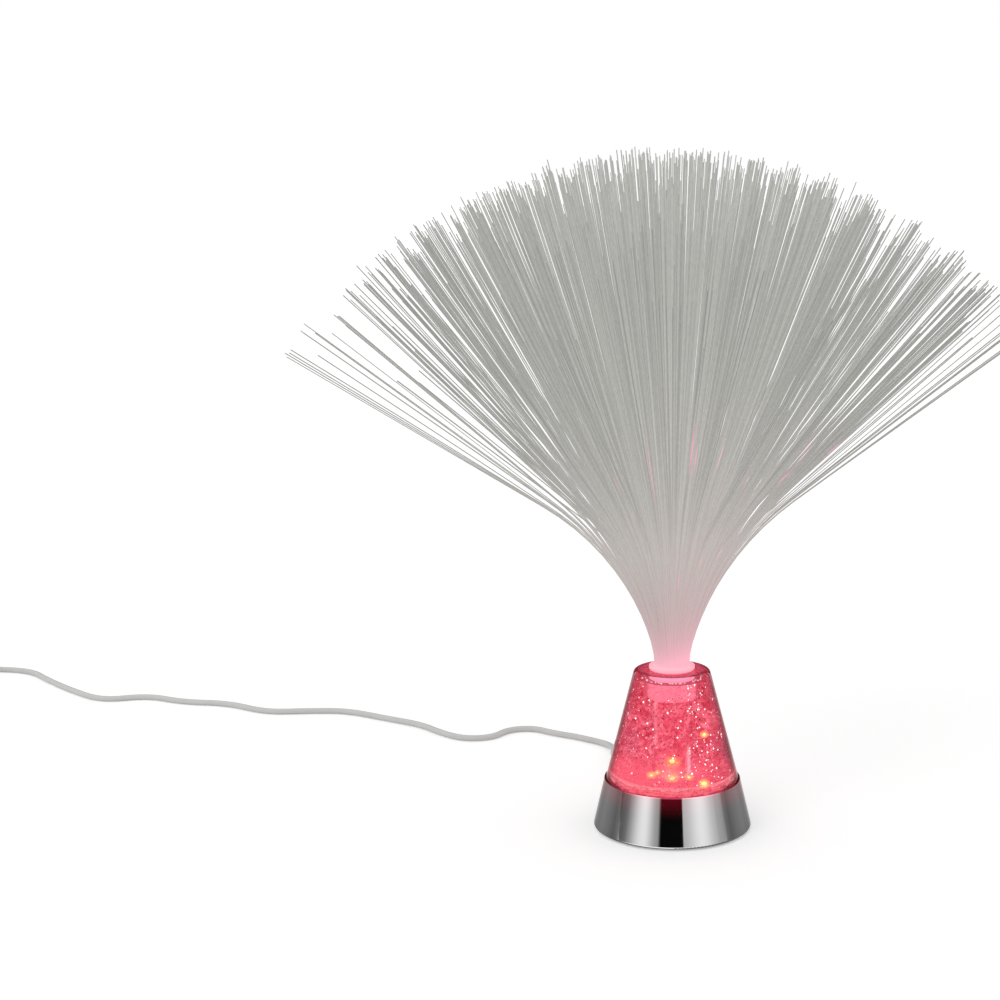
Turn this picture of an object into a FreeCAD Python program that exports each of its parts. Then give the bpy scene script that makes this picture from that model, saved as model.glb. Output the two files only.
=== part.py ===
"""Fiber optic lamp with a glitter-filled vessel. Millimetres, +Z up, origin mid table face."""
import FreeCAD
import Part
import math
import os

os.makedirs("parts", exist_ok=True)
Vector = FreeCAD.Vector
UP = Vector(0, 0, 1)

# ---------------------------------------------------------------- driving sizes
# plated base shell, a hollow cone
base_foot_radius = 39.8
base_top_radius = 34.1
base_height = 24.6
base_wall = 2.2
base_edge_rounding = 0.9
rim_clearance = 1.0            # the base's lower rim above the table
ledge_thickness = 2.0
ledge_inner_radius = 25.0
seat_depth = 2.5               # how far the vessel sits down inside the base's rim
seat_lip = 0.7                 # rim of the base that shows round the vessel
seat_clearance = 0.1

# clear vessel, floor and column
vessel_height = 56.2           # above the base
vessel_top_radius = 18.9
vessel_wall = 2.6
vessel_top_thickness = 3.2
vessel_edge_rounding = 2.2
vessel_floor_thickness = 6.0
gasket_thickness = 0.4
glue_gap = 0.05
fluid_gap = 0.05
air_gap = 0.8                  # air left over the fluid
column_radius = 9.2
column_wall = 1.6
cup_wall = 1.5
cup_depth = 11.0
cup_floor = 2.0
column_rebate = 1.0
window_thickness = 1.0

# fibre bundle, sleeve and collar
fibre_rings = 9                # rings of strands round the centre one
strand_radius = 0.44           # a strand stands for a tuft of about seven fine fibres
strand_gap = 0.04
sleeve_wall = 0.55
sleeve_fit = 0.06              # running fit of the sleeve in the collar
sleeve_proud = 0.6             # sleeve above the collar's flange
collar_wall = 0.7
collar_fit = 0.2               # sliding fit of the collar in the vessel
collar_lip = 1.0
collar_lip_width = 0.9
flange_overlap = 1.1           # flange beyond the hole in the vessel
flange_thickness = 2.1
flange_rounding = 0.6
seal_thickness = 0.35
fibre_length = 252.0           # free length of the middle strands
fibre_length_loss = 7.0        # the outermost strands are this much shorter
fibre_length_spread = 2.5
kick_angle = 16.0              # first quick turn of the outermost strands, degrees
kick_length = 10.0
bend_length = 90.0
spread_angle = 60.0            # final tilt of the outermost strands, degrees
core_share = 0.585             # most strands tilt by this share of spread_angle times their place
skirt_power = 22.0             # how near the rim a strand stands that takes up the rest
golden_share = 0.618034        # step of place from one strand of a ring to the next
golden_start = 0.5636
ring_twist = 11.0              # each ring is turned against the next one, degrees

# bottom cover, feet and screws
cover_thickness = 2.4
cover_recess = 0.4             # the cover lies this far up inside the rim
cover_clearance = 0.2
boss_radius = 3.2
boss_circle = 27.0
boss_count = 4
screw_radius = 1.25
thread_clearance = 0.02
screw_head_radius = 2.5
screw_head_height = 1.2
screw_reach = 7.0
slot_width = 0.7
small_slot_width = 0.45
head_clearance = 0.3
foot_circle = 29.5
foot_count = 4
foot_radius = 4.5
foot_recess = 0.4
vessel_screw_circle = 27.6
vessel_screw_radius = 0.95
vessel_screw_head_radius = 1.9
vessel_screw_head_height = 1.4
vessel_screw_grip = 3.0

# LED board and what is on it
board_radius = 20.5
board_thickness = 1.6
board_height = 7.2             # board above the bottom cover
post_radius = 2.6
post_circle = 17.5
post_count = 3
post_angle = 30.0
board_screw_radius = 0.95
board_screw_grip = 3.0
led_count = 6
led_circle = 14.6
led_radius = 2.5
led_rim_radius = 2.9
led_rim_height = 1.0
led_body_height = 6.1
centre_led_side = 5.0
centre_led_height = 1.6
centre_lens_radius = 2.2
funnel_wall = 0.9
funnel_clearance = 0.3
chip_length = 8.6
chip_width = 4.0
chip_height = 1.6
chip_place = (3.0, -6.0)
resistor_length = 3.2
resistor_width = 1.6
resistor_height = 0.6
resistor_count = 4
resistor_pitch = 5.0
resistor_row = (-11.0, 2.0)
capacitor_radius = 2.0
capacitor_height = 4.2
capacitor_place = (-8.0, -8.0)

# filler plug in the vessel's floor
filler_circle = 19.0
filler_angle = 30.0
filler_radius = 2.4
filler_head_radius = 3.4
filler_head_height = 1.0
filler_seal_thickness = 0.6

# push-button in the back wall
button_angle = 70.0            # direction round the base, 90 is straight back
button_height = 11.0
button_cap_radius = 3.3
button_cap_proud = 2.4
button_cap_rounding = 0.65
button_travel = 1.2
button_fit = 0.08
button_bezel_radius = 5.2
button_bezel_height = 1.3
button_barrel_radius = 4.3
button_barrel_length = 9.5
button_stem_radius = 1.2
button_nut_radius = 5.6
button_nut_height = 1.8
terminal_length = 2.6
terminal_width = 0.8
terminal_spacing = 2.6
panel_thickness = 2.8
panel_pad_radius = 6.4

# cord, gland and clamp
cord_radius = 1.7
cord_grip = 0.05
gland_angle = 110.0
gland_height = 9.0
gland_flange_radius = 4.6
gland_flange_height = 1.4
gland_neck_radius = 3.0
gland_sleeve_radius = 3.1
gland_tip_radius = 2.4
gland_sleeve_length = 16.0
gland_flare = 0.25               # the bore widens by this at the sleeve's mouth
gland_flare_length = 8.0
gland_lock_radius = 4.0
gland_lock_height = 1.5
clamp_circle = 26.0
clamp_width = 6.0
clamp_thickness = 2.0
clamp_screw_offset = 4.4
clamp_post_radius = 1.9
clamp_screw_radius = 0.8
clamp_screw_head_radius = 1.5
clamp_screw_head_height = 1.1
clamp_screw_grip = 3.2
lead_radius = 0.5
lead_spacing = 1.6
lead_run = 3.5                 # level run of a lead under the board
jacket_end_circle = 19.5
table_gap = 0.05               # the cord's underside above the table

# coil of put-away cord and its plug
coil_centre = Vector(-458.0, 259.5, 0)
coil_columns = 3
coil_layers = 2
coil_mean_radius = 20.4
coil_rounding = 1.2
tail_length = 26.0
tail_sway = 1.0
tail_rise = 0.3
plug_body_width = 15.6
plug_body_thickness = 8.0
plug_body_length = 22.0
plug_relief_length = 10.0
plug_shell_width = 12.0
plug_shell_thickness = 4.5
plug_shell_length = 12.0
plug_shell_wall = 0.35
plug_tongue_width = 10.6
plug_tongue_thickness = 1.8
plug_contact_count = 4
plug_contact_width = 1.0
plug_contact_thickness = 0.25
plug_contact_setback = 1.6
plug_tongue_setback = 0.6
plug_seating = 9.0            # how deep shell and tongue reach into the plug's body
plug_relief_radius = 2.2
plug_relief_foot_radius = 3.2
plug_window_width = 2.5
plug_window_length = 2.0
plug_window_setback = 5.5
plug_window_offset = 2.6

# the cord's line on the table, chosen by hand, from behind the base to the coil
CORD_ROUTE = [
    (-33.0, 94.5), (-31.5, 127.5), (-53.0, 144.0), (-68.0, 151.5), (-80.0, 161.0),
    (-94.5, 157.5), (-102.0, 142.5), (-118.5, 139.5), (-132.5, 150.5), (-146.0, 167.0),
    (-169.0, 179.5), (-193.5, 194.5), (-218.0, 193.5), (-242.0, 190.5), (-267.5, 209.0),
    (-296.5, 211.0), (-320.5, 224.5), (-347.0, 213.5), (-371.0, 235.0), (-393.0, 259.0),
    (-408.5, 279.5), (-434.5, 284.5),
]
drop_height = 6.0              # the cord's middle at the first point of its route
first_run = 6.0                # straight cord beyond the strain relief

# ---------------------------------------------------------------- sizes that follow
cover_bottom = rim_clearance + cover_recess
cover_top = cover_bottom + cover_thickness
base_top = rim_clearance + base_height
ledge_top = base_top - seat_depth
ledge_bottom = ledge_top - ledge_thickness
base_slope = (base_foot_radius - base_top_radius) / base_height
base_tilt = math.atan(base_slope)
base_wall_across = base_wall / math.cos(base_tilt)
room_foot_radius = base_foot_radius - base_wall_across
cover_radius = room_foot_radius - base_slope * (cover_top - rim_clearance) - cover_clearance

vessel_foot_radius = base_top_radius - seat_lip
vessel_bottom = ledge_top + gasket_thickness
vessel_top = base_top + vessel_height
vessel_slope = (vessel_foot_radius - vessel_top_radius) / vessel_height
vessel_wall_across = vessel_wall / math.cos(math.atan(vessel_slope))
vessel_ceiling = vessel_top - vessel_top_thickness
vessel_floor_top = vessel_bottom + vessel_floor_thickness

strand_pitch = 2 * strand_radius + strand_gap
bundle_radius = fibre_rings * strand_pitch + strand_radius
sleeve_inner_radius = bundle_radius + strand_gap
sleeve_radius = sleeve_inner_radius + sleeve_wall
collar_inner_radius = sleeve_radius + sleeve_fit
collar_radius = collar_inner_radius + collar_wall
vessel_hole_radius = collar_radius + collar_fit
cup_inner_radius = vessel_hole_radius + glue_gap
cup_radius = cup_inner_radius + cup_wall
cup_bottom = vessel_ceiling - cup_depth
cup_floor_top = cup_bottom + cup_floor
window_top = cup_floor_top + window_thickness
column_top = cup_bottom + column_rebate - glue_gap
flange_radius = vessel_hole_radius + flange_overlap
flange_bottom = vessel_top + seal_thickness
flange_top = flange_bottom + flange_thickness
collar_bottom = window_top + collar_fit
bundle_bottom = collar_bottom + collar_lip + sleeve_fit
sleeve_top = flange_top + sleeve_proud

board_bottom = cover_top + board_height
board_top = board_bottom + board_thickness
funnel_bottom_radius = centre_led_side * math.sqrt(0.5) + funnel_clearance
funnel_top = vessel_bottom - funnel_clearance

coil_inner_radius = coil_mean_radius - coil_columns * cord_radius
coil_outer_radius = coil_mean_radius + coil_columns * cord_radius
coil_turn_radius = coil_outer_radius - cord_radius
coil_height = coil_layers * 2 * cord_radius
cord_rest = cord_radius + table_gap


# ---------------------------------------------------------------- helpers
def save(node, shape):
    """Write one sub-part to its own STEP file."""
    shape.exportStep("parts/" + node + ".step")
    print(node, len(shape.Solids), "solids", round(shape.Volume, 1), "mm3")


def base_radius(z):
    """Outer radius of the base's cone at height z."""
    return base_foot_radius - base_slope * (z - rim_clearance)


def vessel_radius(z):
    """Outer radius of the vessel's cone at height z."""
    return vessel_foot_radius - vessel_slope * (z - base_top)


def cavity_radius(z):
    """Inner radius of the vessel's cone at height z."""
    return vessel_radius(z) - vessel_wall_across


def revolved(profile):
    """A solid of revolution about Z from a closed outline of (radius, z) points."""
    corners = [Vector(r, 0, z) for r, z in profile]
    outline = Part.makePolygon(corners + corners[:1])
    return Part.Face(outline).revolve(Vector(0, 0, 0), UP, 360)


def disc(radius, bottom, top, centre=(0, 0)):
    """An upright cylinder between two heights."""
    return Part.makeCylinder(radius, top - bottom, Vector(centre[0], centre[1], bottom), UP)


def ring(outer, inner, bottom, top):
    """An upright ring between two heights."""
    return revolved([(inner, bottom), (outer, bottom), (outer, top), (inner, top)])


def around(count, radius, first=0.0):
    """Points evenly spaced on a circle, the first at the angle in degrees."""
    angles = [math.radians(first + 360.0 * i / count) for i in range(count)]
    return [(radius * math.cos(a), radius * math.sin(a)) for a in angles]


def rounded_edges(shape, size, radius, z):
    """Round the circular edges about Z that have this radius and lie at this height."""
    picked = []
    for edge in shape.Edges:
        box = edge.BoundBox
        level = abs(box.ZMin - z) < 1e-4 and abs(box.ZMax - z) < 1e-4
        if level and abs(box.XMax - radius) < 1e-3 and abs(box.XMin + radius) < 1e-3:
            picked.append(edge)
    return shape.makeFillet(size, picked)


def in_wall(shape, seat, outward):
    """Move a shape built about local +Z so that +Z points outward from the seat point."""
    moved = shape.copy()
    turn = FreeCAD.Rotation(UP, outward)
    moved.Placement = FreeCAD.Placement(seat, turn).multiply(moved.Placement)
    return moved


def fused(shapes):
    """One solid from touching shapes."""
    joined = shapes[0].multiFuse(shapes[1:])
    return joined.removeSplitter()


def polyline_tube(points, radius):
    """A round tube of straight runs joined by tangent arcs; returns the solid, its length and its radii."""
    edges = []
    radii = []
    start = points[0]
    for before, corner, after in zip(points, points[1:], points[2:]):
        run_in = (corner - before).Length
        run_out = (after - corner).Length
        inward = (before - corner).normalize()
        outward = (after - corner).normalize()
        half_turn = (math.pi - inward.getAngle(outward)) / 2
        setback = 0.45 * min(run_in, run_out)
        bend = setback / math.tan(half_turn)
        first = corner + inward * setback
        last = corner + outward * setback
        middle = (inward + outward).normalize()
        apex = corner + middle * (bend / math.cos(half_turn) - bend)
        edges.append(Part.LineSegment(start, first).toShape())
        edges.append(Part.Arc(first, apex, last).toShape())
        radii.append(bend)
        start = last
    edges.append(Part.LineSegment(start, points[-1]).toShape())
    path = Part.Wire(edges)
    section = Part.Wire(Part.makeCircle(radius, points[0], points[1] - points[0]))
    tube = path.makePipeShell([section], True, False)
    return tube, path.Length, radii


def checked_tube(name, points, radius):
    """A cord's tube, with its volume set against its section times its length and its radii printed."""
    tube, length, radii = polyline_tube(points, radius)
    expected = math.pi * radius * radius * length
    print(name, "length", round(length, 1), "volume ratio", round(tube.Volume / expected, 5))
    print(name, "arc radii", [round(r, 1) for r in radii], "least", round(min(radii), 1))
    return tube


# ---------------------------------------------------------------- seats in the base's wall
def direction(angle):
    """Level unit vector at an angle round the base."""
    return Vector(math.cos(math.radians(angle)), math.sin(math.radians(angle)), 0)


button_out = direction(button_angle) * math.cos(base_tilt) + UP * math.sin(base_tilt)
gland_out = direction(gland_angle)


def button_seat():
    """Middle of the flat on the wall that carries the button's bezel."""
    sagitta = button_bezel_radius ** 2 / (2 * base_radius(button_height))
    return direction(button_angle) * base_radius(button_height) + UP * button_height - button_out * sagitta


def gland_seat():
    """Middle of the upright flat on the wall that carries the gland's flange."""
    reach = base_radius(gland_height + gland_flange_radius)
    sagitta = gland_flange_radius ** 2 / (2 * reach)
    return gland_out * (reach - sagitta) + UP * gland_height


# ---------------------------------------------------------------- base
def make_base_shell():
    """Plated cone with a ledge for the vessel, screw bosses and thickened flats for button and gland."""
    outer_cone = revolved([
        (0, rim_clearance), (base_foot_radius, rim_clearance), (base_top_radius, base_top), (0, base_top)])
    outer_cone = rounded_edges(outer_cone, base_edge_rounding, base_foot_radius, rim_clearance)
    room = revolved([
        (0, rim_clearance - 1), (base_radius(rim_clearance - 1) - base_wall_across, rim_clearance - 1),
        (base_radius(ledge_bottom) - base_wall_across, ledge_bottom), (0, ledge_bottom)])
    seat = disc(vessel_foot_radius + seat_clearance, ledge_top, base_top + 1)
    window = disc(ledge_inner_radius, ledge_bottom - 1, base_top + 1)
    shell = outer_cone.cut(room).cut(seat).cut(window)
    additions = [disc(boss_radius, cover_top, ledge_bottom, c)
                 for c in around(boss_count, boss_circle, 180.0 / boss_count)]
    pad_room = outer_cone.cut(disc(base_foot_radius + 1, 0, cover_top + cover_clearance))
    for seat_point, outward in ((button_seat(), button_out), (gland_seat(), gland_out)):
        pad = in_wall(Part.makeCylinder(panel_pad_radius, panel_thickness + base_wall,
                                        Vector(0, 0, -panel_thickness)), seat_point, outward)
        additions.append(pad.common(pad_room))
    shell = fused([shell] + additions)
    cuts = []
    for centre in around(boss_count, boss_circle, 180.0 / boss_count):
        cuts.append(disc(screw_radius + thread_clearance, cover_top - 1, cover_top + screw_reach + 1, centre))
    for centre in around(boss_count, vessel_screw_circle):
        cuts.append(disc(vessel_screw_radius + thread_clearance, ledge_bottom - 1, ledge_top + 1, centre))
    for seat_point, outward, flat, hole in (
            (button_seat(), button_out, button_bezel_radius, button_barrel_radius),
            (gland_seat(), gland_out, gland_flange_radius, gland_neck_radius)):
        cuts.append(in_wall(Part.makeCylinder(flat + glue_gap, base_wall * 3), seat_point, outward))
        cuts.append(in_wall(Part.makeCylinder(hole + glue_gap, panel_thickness * 3,
                                              Vector(0, 0, -panel_thickness * 2)), seat_point, outward))
    return shell.cut(Part.makeCompound(cuts))


def clamp_frame(shape):
    """Place a shape built with the cord along local X at the clamp's point under the cord's middle."""
    moved = shape.copy()
    turn = FreeCAD.Rotation(UP, gland_angle)
    moved.Placement = FreeCAD.Placement(direction(gland_angle) * clamp_circle, turn).multiply(moved.Placement)
    return moved


def make_bottom_cover():
    """Round cover with recesses for feet and screw heads, board posts and the saddle of the cord clamp."""
    cover = disc(cover_radius, cover_bottom, cover_top)
    posts = [disc(post_radius, cover_bottom, board_bottom, c)
             for c in around(post_count, post_circle, post_angle)]
    saddle_top = gland_height - cord_radius
    half_span = clamp_screw_offset
    saddle = Part.makeBox(clamp_width, 2 * half_span, saddle_top - cover_bottom,
                          Vector(-clamp_width / 2, -half_span, cover_bottom))
    pillar_top = gland_height + cord_radius
    pillars = [disc(clamp_post_radius, cover_bottom, pillar_top, (0, side * clamp_screw_offset))
               for side in (-1, 1)]
    groove = Part.makeCylinder(cord_radius + cord_grip, clamp_width + 2,
                               Vector(-clamp_width / 2 - 1, 0, gland_height), Vector(1, 0, 0))
    cover = fused([cover] + posts + [clamp_frame(s) for s in [saddle] + pillars])
    cuts = [clamp_frame(groove)]
    for centre in around(boss_count, boss_circle, 180.0 / boss_count):
        cuts.append(disc(screw_radius + head_clearance, cover_bottom - 1, cover_top + 1, centre))
        cuts.append(disc(screw_head_radius + head_clearance, cover_bottom - 1,
                         cover_bottom + screw_head_height + head_clearance / 3, centre))
    for centre in around(foot_count, foot_circle):
        cuts.append(disc(foot_radius + glue_gap, cover_bottom - 1, cover_bottom + foot_recess, centre))
    for centre in around(post_count, post_circle, post_angle):
        cuts.append(disc(board_screw_radius + thread_clearance, board_bottom - board_screw_grip - 1,
                         board_bottom + 1, centre))
    for side in (-1, 1):
        cuts.append(clamp_frame(disc(clamp_screw_radius + thread_clearance, pillar_top - clamp_screw_grip - 1,
                                     pillar_top + 1, (0, side * clamp_screw_offset))))
    return cover.cut(Part.makeCompound(cuts))


def pan_screw(head_radius, head_height, radius, reach, slot_width):
    """A screw with its head below z = 0 and its shank going up, with a cross slot in the head."""
    head = Part.makeCylinder(head_radius, head_height, Vector(0, 0, -head_height))
    shank = Part.makeCylinder(radius, reach)
    screw = fused([head, shank])
    slot = Part.makeBox(head_radius * 1.3, slot_width, head_height * 0.5,
                        Vector(-head_radius * 0.65, -slot_width / 2, -head_height))
    across = slot.copy()
    across.rotate(Vector(0, 0, 0), UP, 90)
    return screw.cut(Part.makeCompound([slot, across]))


def screws_up(screw, centres, z):
    """Copies of a screw under a face at height z, shanks up."""
    return Part.makeCompound([screw.translated(Vector(x, y, z)) for x, y in centres])


def screws_down(screw, centres, z):
    """Copies of a screw on a face at height z, shanks down."""
    turned = screw.copy()
    turned.rotate(Vector(0, 0, 0), Vector(1, 0, 0), 180)
    return screws_up(turned, centres, z)


def make_base():
    """Base shell, bottom cover, feet and the screws that hold them."""
    save("base_shell", make_base_shell())
    save("bottom_cover", make_bottom_cover())
    cover_screw = pan_screw(screw_head_radius, screw_head_height, screw_radius, screw_reach, slot_width)
    save("cover_screws", screws_up(cover_screw, around(boss_count, boss_circle, 180.0 / boss_count),
                                   cover_bottom + screw_head_height + head_clearance / 3))
    feet = []
    for x, y in around(foot_count, foot_circle):
        foot = disc(foot_radius, 0, cover_bottom + foot_recess)
        foot = rounded_edges(foot, foot_recess, foot_radius, 0)
        feet.append(foot.translated(Vector(x, y, 0)))
    save("rubber_feet", Part.makeCompound(feet))


# ---------------------------------------------------------------- vessel
def make_vessel_shell():
    """Clear cone with a flat top, a rounded top edge and a hole for the collar."""
    body = revolved([
        (0, vessel_bottom), (vessel_foot_radius, vessel_bottom), (vessel_foot_radius, base_top),
        (vessel_top_radius, vessel_top), (0, vessel_top)])
    body = rounded_edges(body, vessel_edge_rounding, vessel_top_radius, vessel_top)
    cavity = revolved([
        (0, vessel_bottom - 1), (cavity_radius(vessel_bottom - 1), vessel_bottom - 1),
        (cavity_radius(vessel_ceiling), vessel_ceiling), (0, vessel_ceiling)])
    cavity = rounded_edges(cavity, vessel_edge_rounding / 2, cavity_radius(vessel_ceiling), vessel_ceiling)
    hole = disc(vessel_hole_radius, vessel_ceiling - 1, vessel_top + 1)
    return body.cut(cavity).cut(hole)


def make_vessel():
    """Vessel, floor, fluid, column, socket cup, window, filler plug, gasket and holding screws."""
    save("vessel_shell", make_vessel_shell())
    filler = around(1, filler_circle, filler_angle)[0]
    column_hole = disc(column_radius + glue_gap, vessel_bottom - 1, vessel_floor_top + 1)
    filler_hole = disc(filler_radius + glue_gap, vessel_bottom - 1, vessel_floor_top + 1, filler)
    thread_holes = [disc(vessel_screw_radius + thread_clearance, vessel_bottom - 1,
                         vessel_bottom + vessel_screw_grip + glue_gap, c)
                    for c in around(boss_count, vessel_screw_circle)]
    floor = revolved([
        (0, vessel_bottom), (cavity_radius(vessel_bottom) - glue_gap, vessel_bottom),
        (cavity_radius(vessel_floor_top) - glue_gap, vessel_floor_top), (0, vessel_floor_top)])
    save("vessel_floor", floor.cut(Part.makeCompound([column_hole, filler_hole] + thread_holes)))

    fluid_bottom = vessel_floor_top + fluid_gap
    fluid_top = vessel_ceiling - air_gap
    fluid = revolved([
        (0, fluid_bottom), (cavity_radius(fluid_bottom) - fluid_gap, fluid_bottom),
        (cavity_radius(fluid_top) - fluid_gap, fluid_top), (0, fluid_top)])
    fluid = fluid.cut(disc(column_radius + fluid_gap, fluid_bottom - 1, fluid_top))
    fluid = fluid.cut(disc(cup_radius + fluid_gap, cup_bottom - fluid_gap, fluid_top + 1))
    save("glitter_fluid", fluid)

    save("light_column", ring(column_radius, column_radius - column_wall, vessel_bottom, column_top))
    cup = disc(cup_radius, cup_bottom, vessel_ceiling)
    cup = cup.cut(disc(cup_inner_radius, cup_floor_top, vessel_ceiling + 1))
    cup = cup.cut(disc(column_radius + glue_gap, cup_bottom - 1, cup_bottom + column_rebate))
    cup = cup.cut(disc(column_radius - column_wall, cup_bottom - 1, cup_floor_top + 1))
    save("socket_cup", cup)
    save("light_window", disc(cup_inner_radius - glue_gap, cup_floor_top, window_top))

    plug_top = vessel_floor_top
    head_top = vessel_bottom - filler_seal_thickness
    stem = disc(filler_radius, head_top, plug_top, filler)
    head = disc(filler_head_radius, head_top - filler_head_height, head_top, filler)
    save("filler_plug", fused([stem, head]))
    seal = disc(filler_head_radius, head_top, vessel_bottom, filler)
    save("filler_seal", seal.cut(disc(filler_radius + glue_gap, head_top - 1, vessel_bottom + 1, filler)))

    gasket = ring(vessel_foot_radius, ledge_inner_radius, ledge_top, vessel_bottom)
    gasket = gasket.cut(Part.makeCompound([
        disc(vessel_screw_radius + thread_clearance, ledge_top - 1, vessel_bottom + 1, c)
        for c in around(boss_count, vessel_screw_circle)]))
    save("vessel_gasket", gasket)
    holding_reach = ledge_thickness + gasket_thickness + vessel_screw_grip
    holding_screw = pan_screw(vessel_screw_head_radius, vessel_screw_head_height, vessel_screw_radius,
                              holding_reach, small_slot_width)
    save("vessel_screws", screws_up(holding_screw, around(boss_count, vessel_screw_circle), ledge_bottom))


# ---------------------------------------------------------------- fibre head
def make_collar():
    """Flanged collar, whose lip at the lower end carries the sleeve, and the flat seal under its flange."""
    collar = revolved([
        (collar_inner_radius - collar_lip_width, collar_bottom), (collar_radius, collar_bottom),
        (collar_radius, flange_bottom), (flange_radius, flange_bottom), (flange_radius, flange_top),
        (collar_inner_radius, flange_top), (collar_inner_radius, collar_bottom + collar_lip),
        (collar_inner_radius - collar_lip_width, collar_bottom + collar_lip)])
    collar = rounded_edges(collar, flange_rounding, flange_radius, flange_top)
    save("fibre_collar", rounded_edges(collar, flange_rounding, flange_radius, flange_bottom))
    seal = ring(flange_radius - flange_rounding, collar_radius + glue_gap, vessel_top, flange_bottom)
    save("collar_seal", seal)


def tilt_at(place):
    """Final tilt in degrees of a strand; place is 0 in the middle of the bundle and 1 at its rim."""
    return spread_angle * (core_share * place + (1 - core_share) * place ** skirt_power)


def strand(ring_radius, place, length):
    """One strand: up through the sleeve, a quick kick outwards, a long bend, then straight to its tip."""
    section = Part.Wire(Part.makeCircle(strand_radius, Vector(ring_radius, 0, bundle_bottom), UP))
    height = Vector(ring_radius, 0, sleeve_top)
    final_tilt = math.radians(tilt_at(place))
    edges = [Part.LineSegment(Vector(ring_radius, 0, bundle_bottom), height).toShape()]
    if final_tilt < 1e-6:
        edges = [Part.LineSegment(Vector(ring_radius, 0, bundle_bottom), height + UP * length).toShape()]
        return Part.Wire(edges).makePipeShell([section], True, False)
    kick = math.radians(kick_angle) * place
    tilt = 0.0
    for turn, arc_length in ((kick, kick_length), (final_tilt - kick, bend_length)):
        radius = arc_length / turn
        centre = height + Vector(math.cos(tilt), 0, -math.sin(tilt)) * radius
        middle = centre - Vector(math.cos(tilt + turn / 2), 0, -math.sin(tilt + turn / 2)) * radius
        end = centre - Vector(math.cos(tilt + turn), 0, -math.sin(tilt + turn)) * radius
        edges.append(Part.Arc(height, middle, end).toShape())
        height = end
        tilt += turn
    along = Vector(math.sin(tilt), 0, math.cos(tilt))
    tip = height + along * (length - kick_length - bend_length)
    edges.append(Part.LineSegment(height, tip).toShape())
    return Part.Wire(edges).makePipeShell([section], True, False)


def make_bundle():
    """Sleeve and rings of strands: a dense core, and a few strands that lean far out.

    The two halves of each ring match, so that the spray is even all round.
    """
    save("bundle_sleeve", ring(sleeve_radius, sleeve_inner_radius, bundle_bottom, sleeve_top))
    save("fibre_centre", strand(0.0, 0.0, fibre_length + fibre_length_spread))
    for k in range(1, fibre_rings + 1):
        kinds = []
        for j in range(3 * k):
            place = (k - 0.5 + (golden_start + golden_share * j) % 1.0) / (fibre_rings + 0.5)
            side = 1 if j % 2 else -1
            length = fibre_length - fibre_length_loss * place - side * fibre_length_spread
            kinds.append(strand(k * strand_pitch, place, length))
        strands = []
        for i in range(6 * k):
            copy = kinds[i % (3 * k)].copy()
            copy.rotate(Vector(0, 0, 0), UP, k * ring_twist + 60.0 * i / k)
            strands.append(copy)
        save("fibre_ring_" + str(k), Part.makeCompound(strands))


# ---------------------------------------------------------------- electrics
def make_board():
    """LED board with its LEDs, light funnel, screws and the parts on its underside."""
    board = disc(board_radius, board_bottom, board_top)
    board = board.cut(Part.makeCompound([
        disc(board_screw_radius + head_clearance, board_bottom - 1, board_top + 1, c)
        for c in around(post_count, post_circle, post_angle)]))
    save("led_board", board)
    board_screw = pan_screw(vessel_screw_head_radius, vessel_screw_head_height, board_screw_radius,
                            board_thickness + board_screw_grip, small_slot_width)
    save("board_screws", screws_down(board_screw, around(post_count, post_circle, post_angle), board_top))

    led = revolved([
        (0, 0), (led_rim_radius, 0), (led_rim_radius, led_rim_height), (led_radius, led_rim_height),
        (led_radius, led_body_height), (0, led_body_height)])
    dome = Part.makeSphere(led_radius, Vector(0, 0, led_body_height))
    upper_half = Part.makeCylinder(led_radius * 2, led_radius * 2, Vector(0, 0, led_body_height))
    led = fused([led, dome.common(upper_half)])
    save("ring_leds", Part.makeCompound([led.translated(Vector(x, y, board_top))
                                         for x, y in around(led_count, led_circle)]))
    side = centre_led_side
    package = Part.makeBox(side, side, centre_led_height, Vector(-side / 2, -side / 2, board_top))
    lens_centre = Vector(0, 0, board_top + centre_led_height)
    lens = Part.makeSphere(centre_lens_radius, lens_centre)
    lens = lens.common(Part.makeCylinder(side, side, lens_centre))
    save("centre_led", fused([package, lens]))
    funnel_top_radius = column_radius - funnel_wall
    save("light_funnel", revolved([
        (funnel_bottom_radius, board_top), (funnel_bottom_radius + funnel_wall, board_top),
        (funnel_top_radius, funnel_top), (funnel_top_radius - funnel_wall, funnel_top)]))

    def under_board(length, width, height, x, y):
        """A box hanging from the board's underside."""
        corner = Vector(x - length / 2, y - width / 2, board_bottom - height)
        return Part.makeBox(length, width, height, corner)

    save("controller_chip", under_board(chip_length, chip_width, chip_height, chip_place[0], chip_place[1]))
    row = [(resistor_row[0] + resistor_pitch * i, resistor_row[1]) for i in range(resistor_count)]
    save("resistors", Part.makeCompound([
        under_board(resistor_length, resistor_width, resistor_height, x, y) for x, y in row]))
    save("capacitor", disc(capacitor_radius, board_bottom - capacitor_height, board_bottom, capacitor_place))


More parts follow.
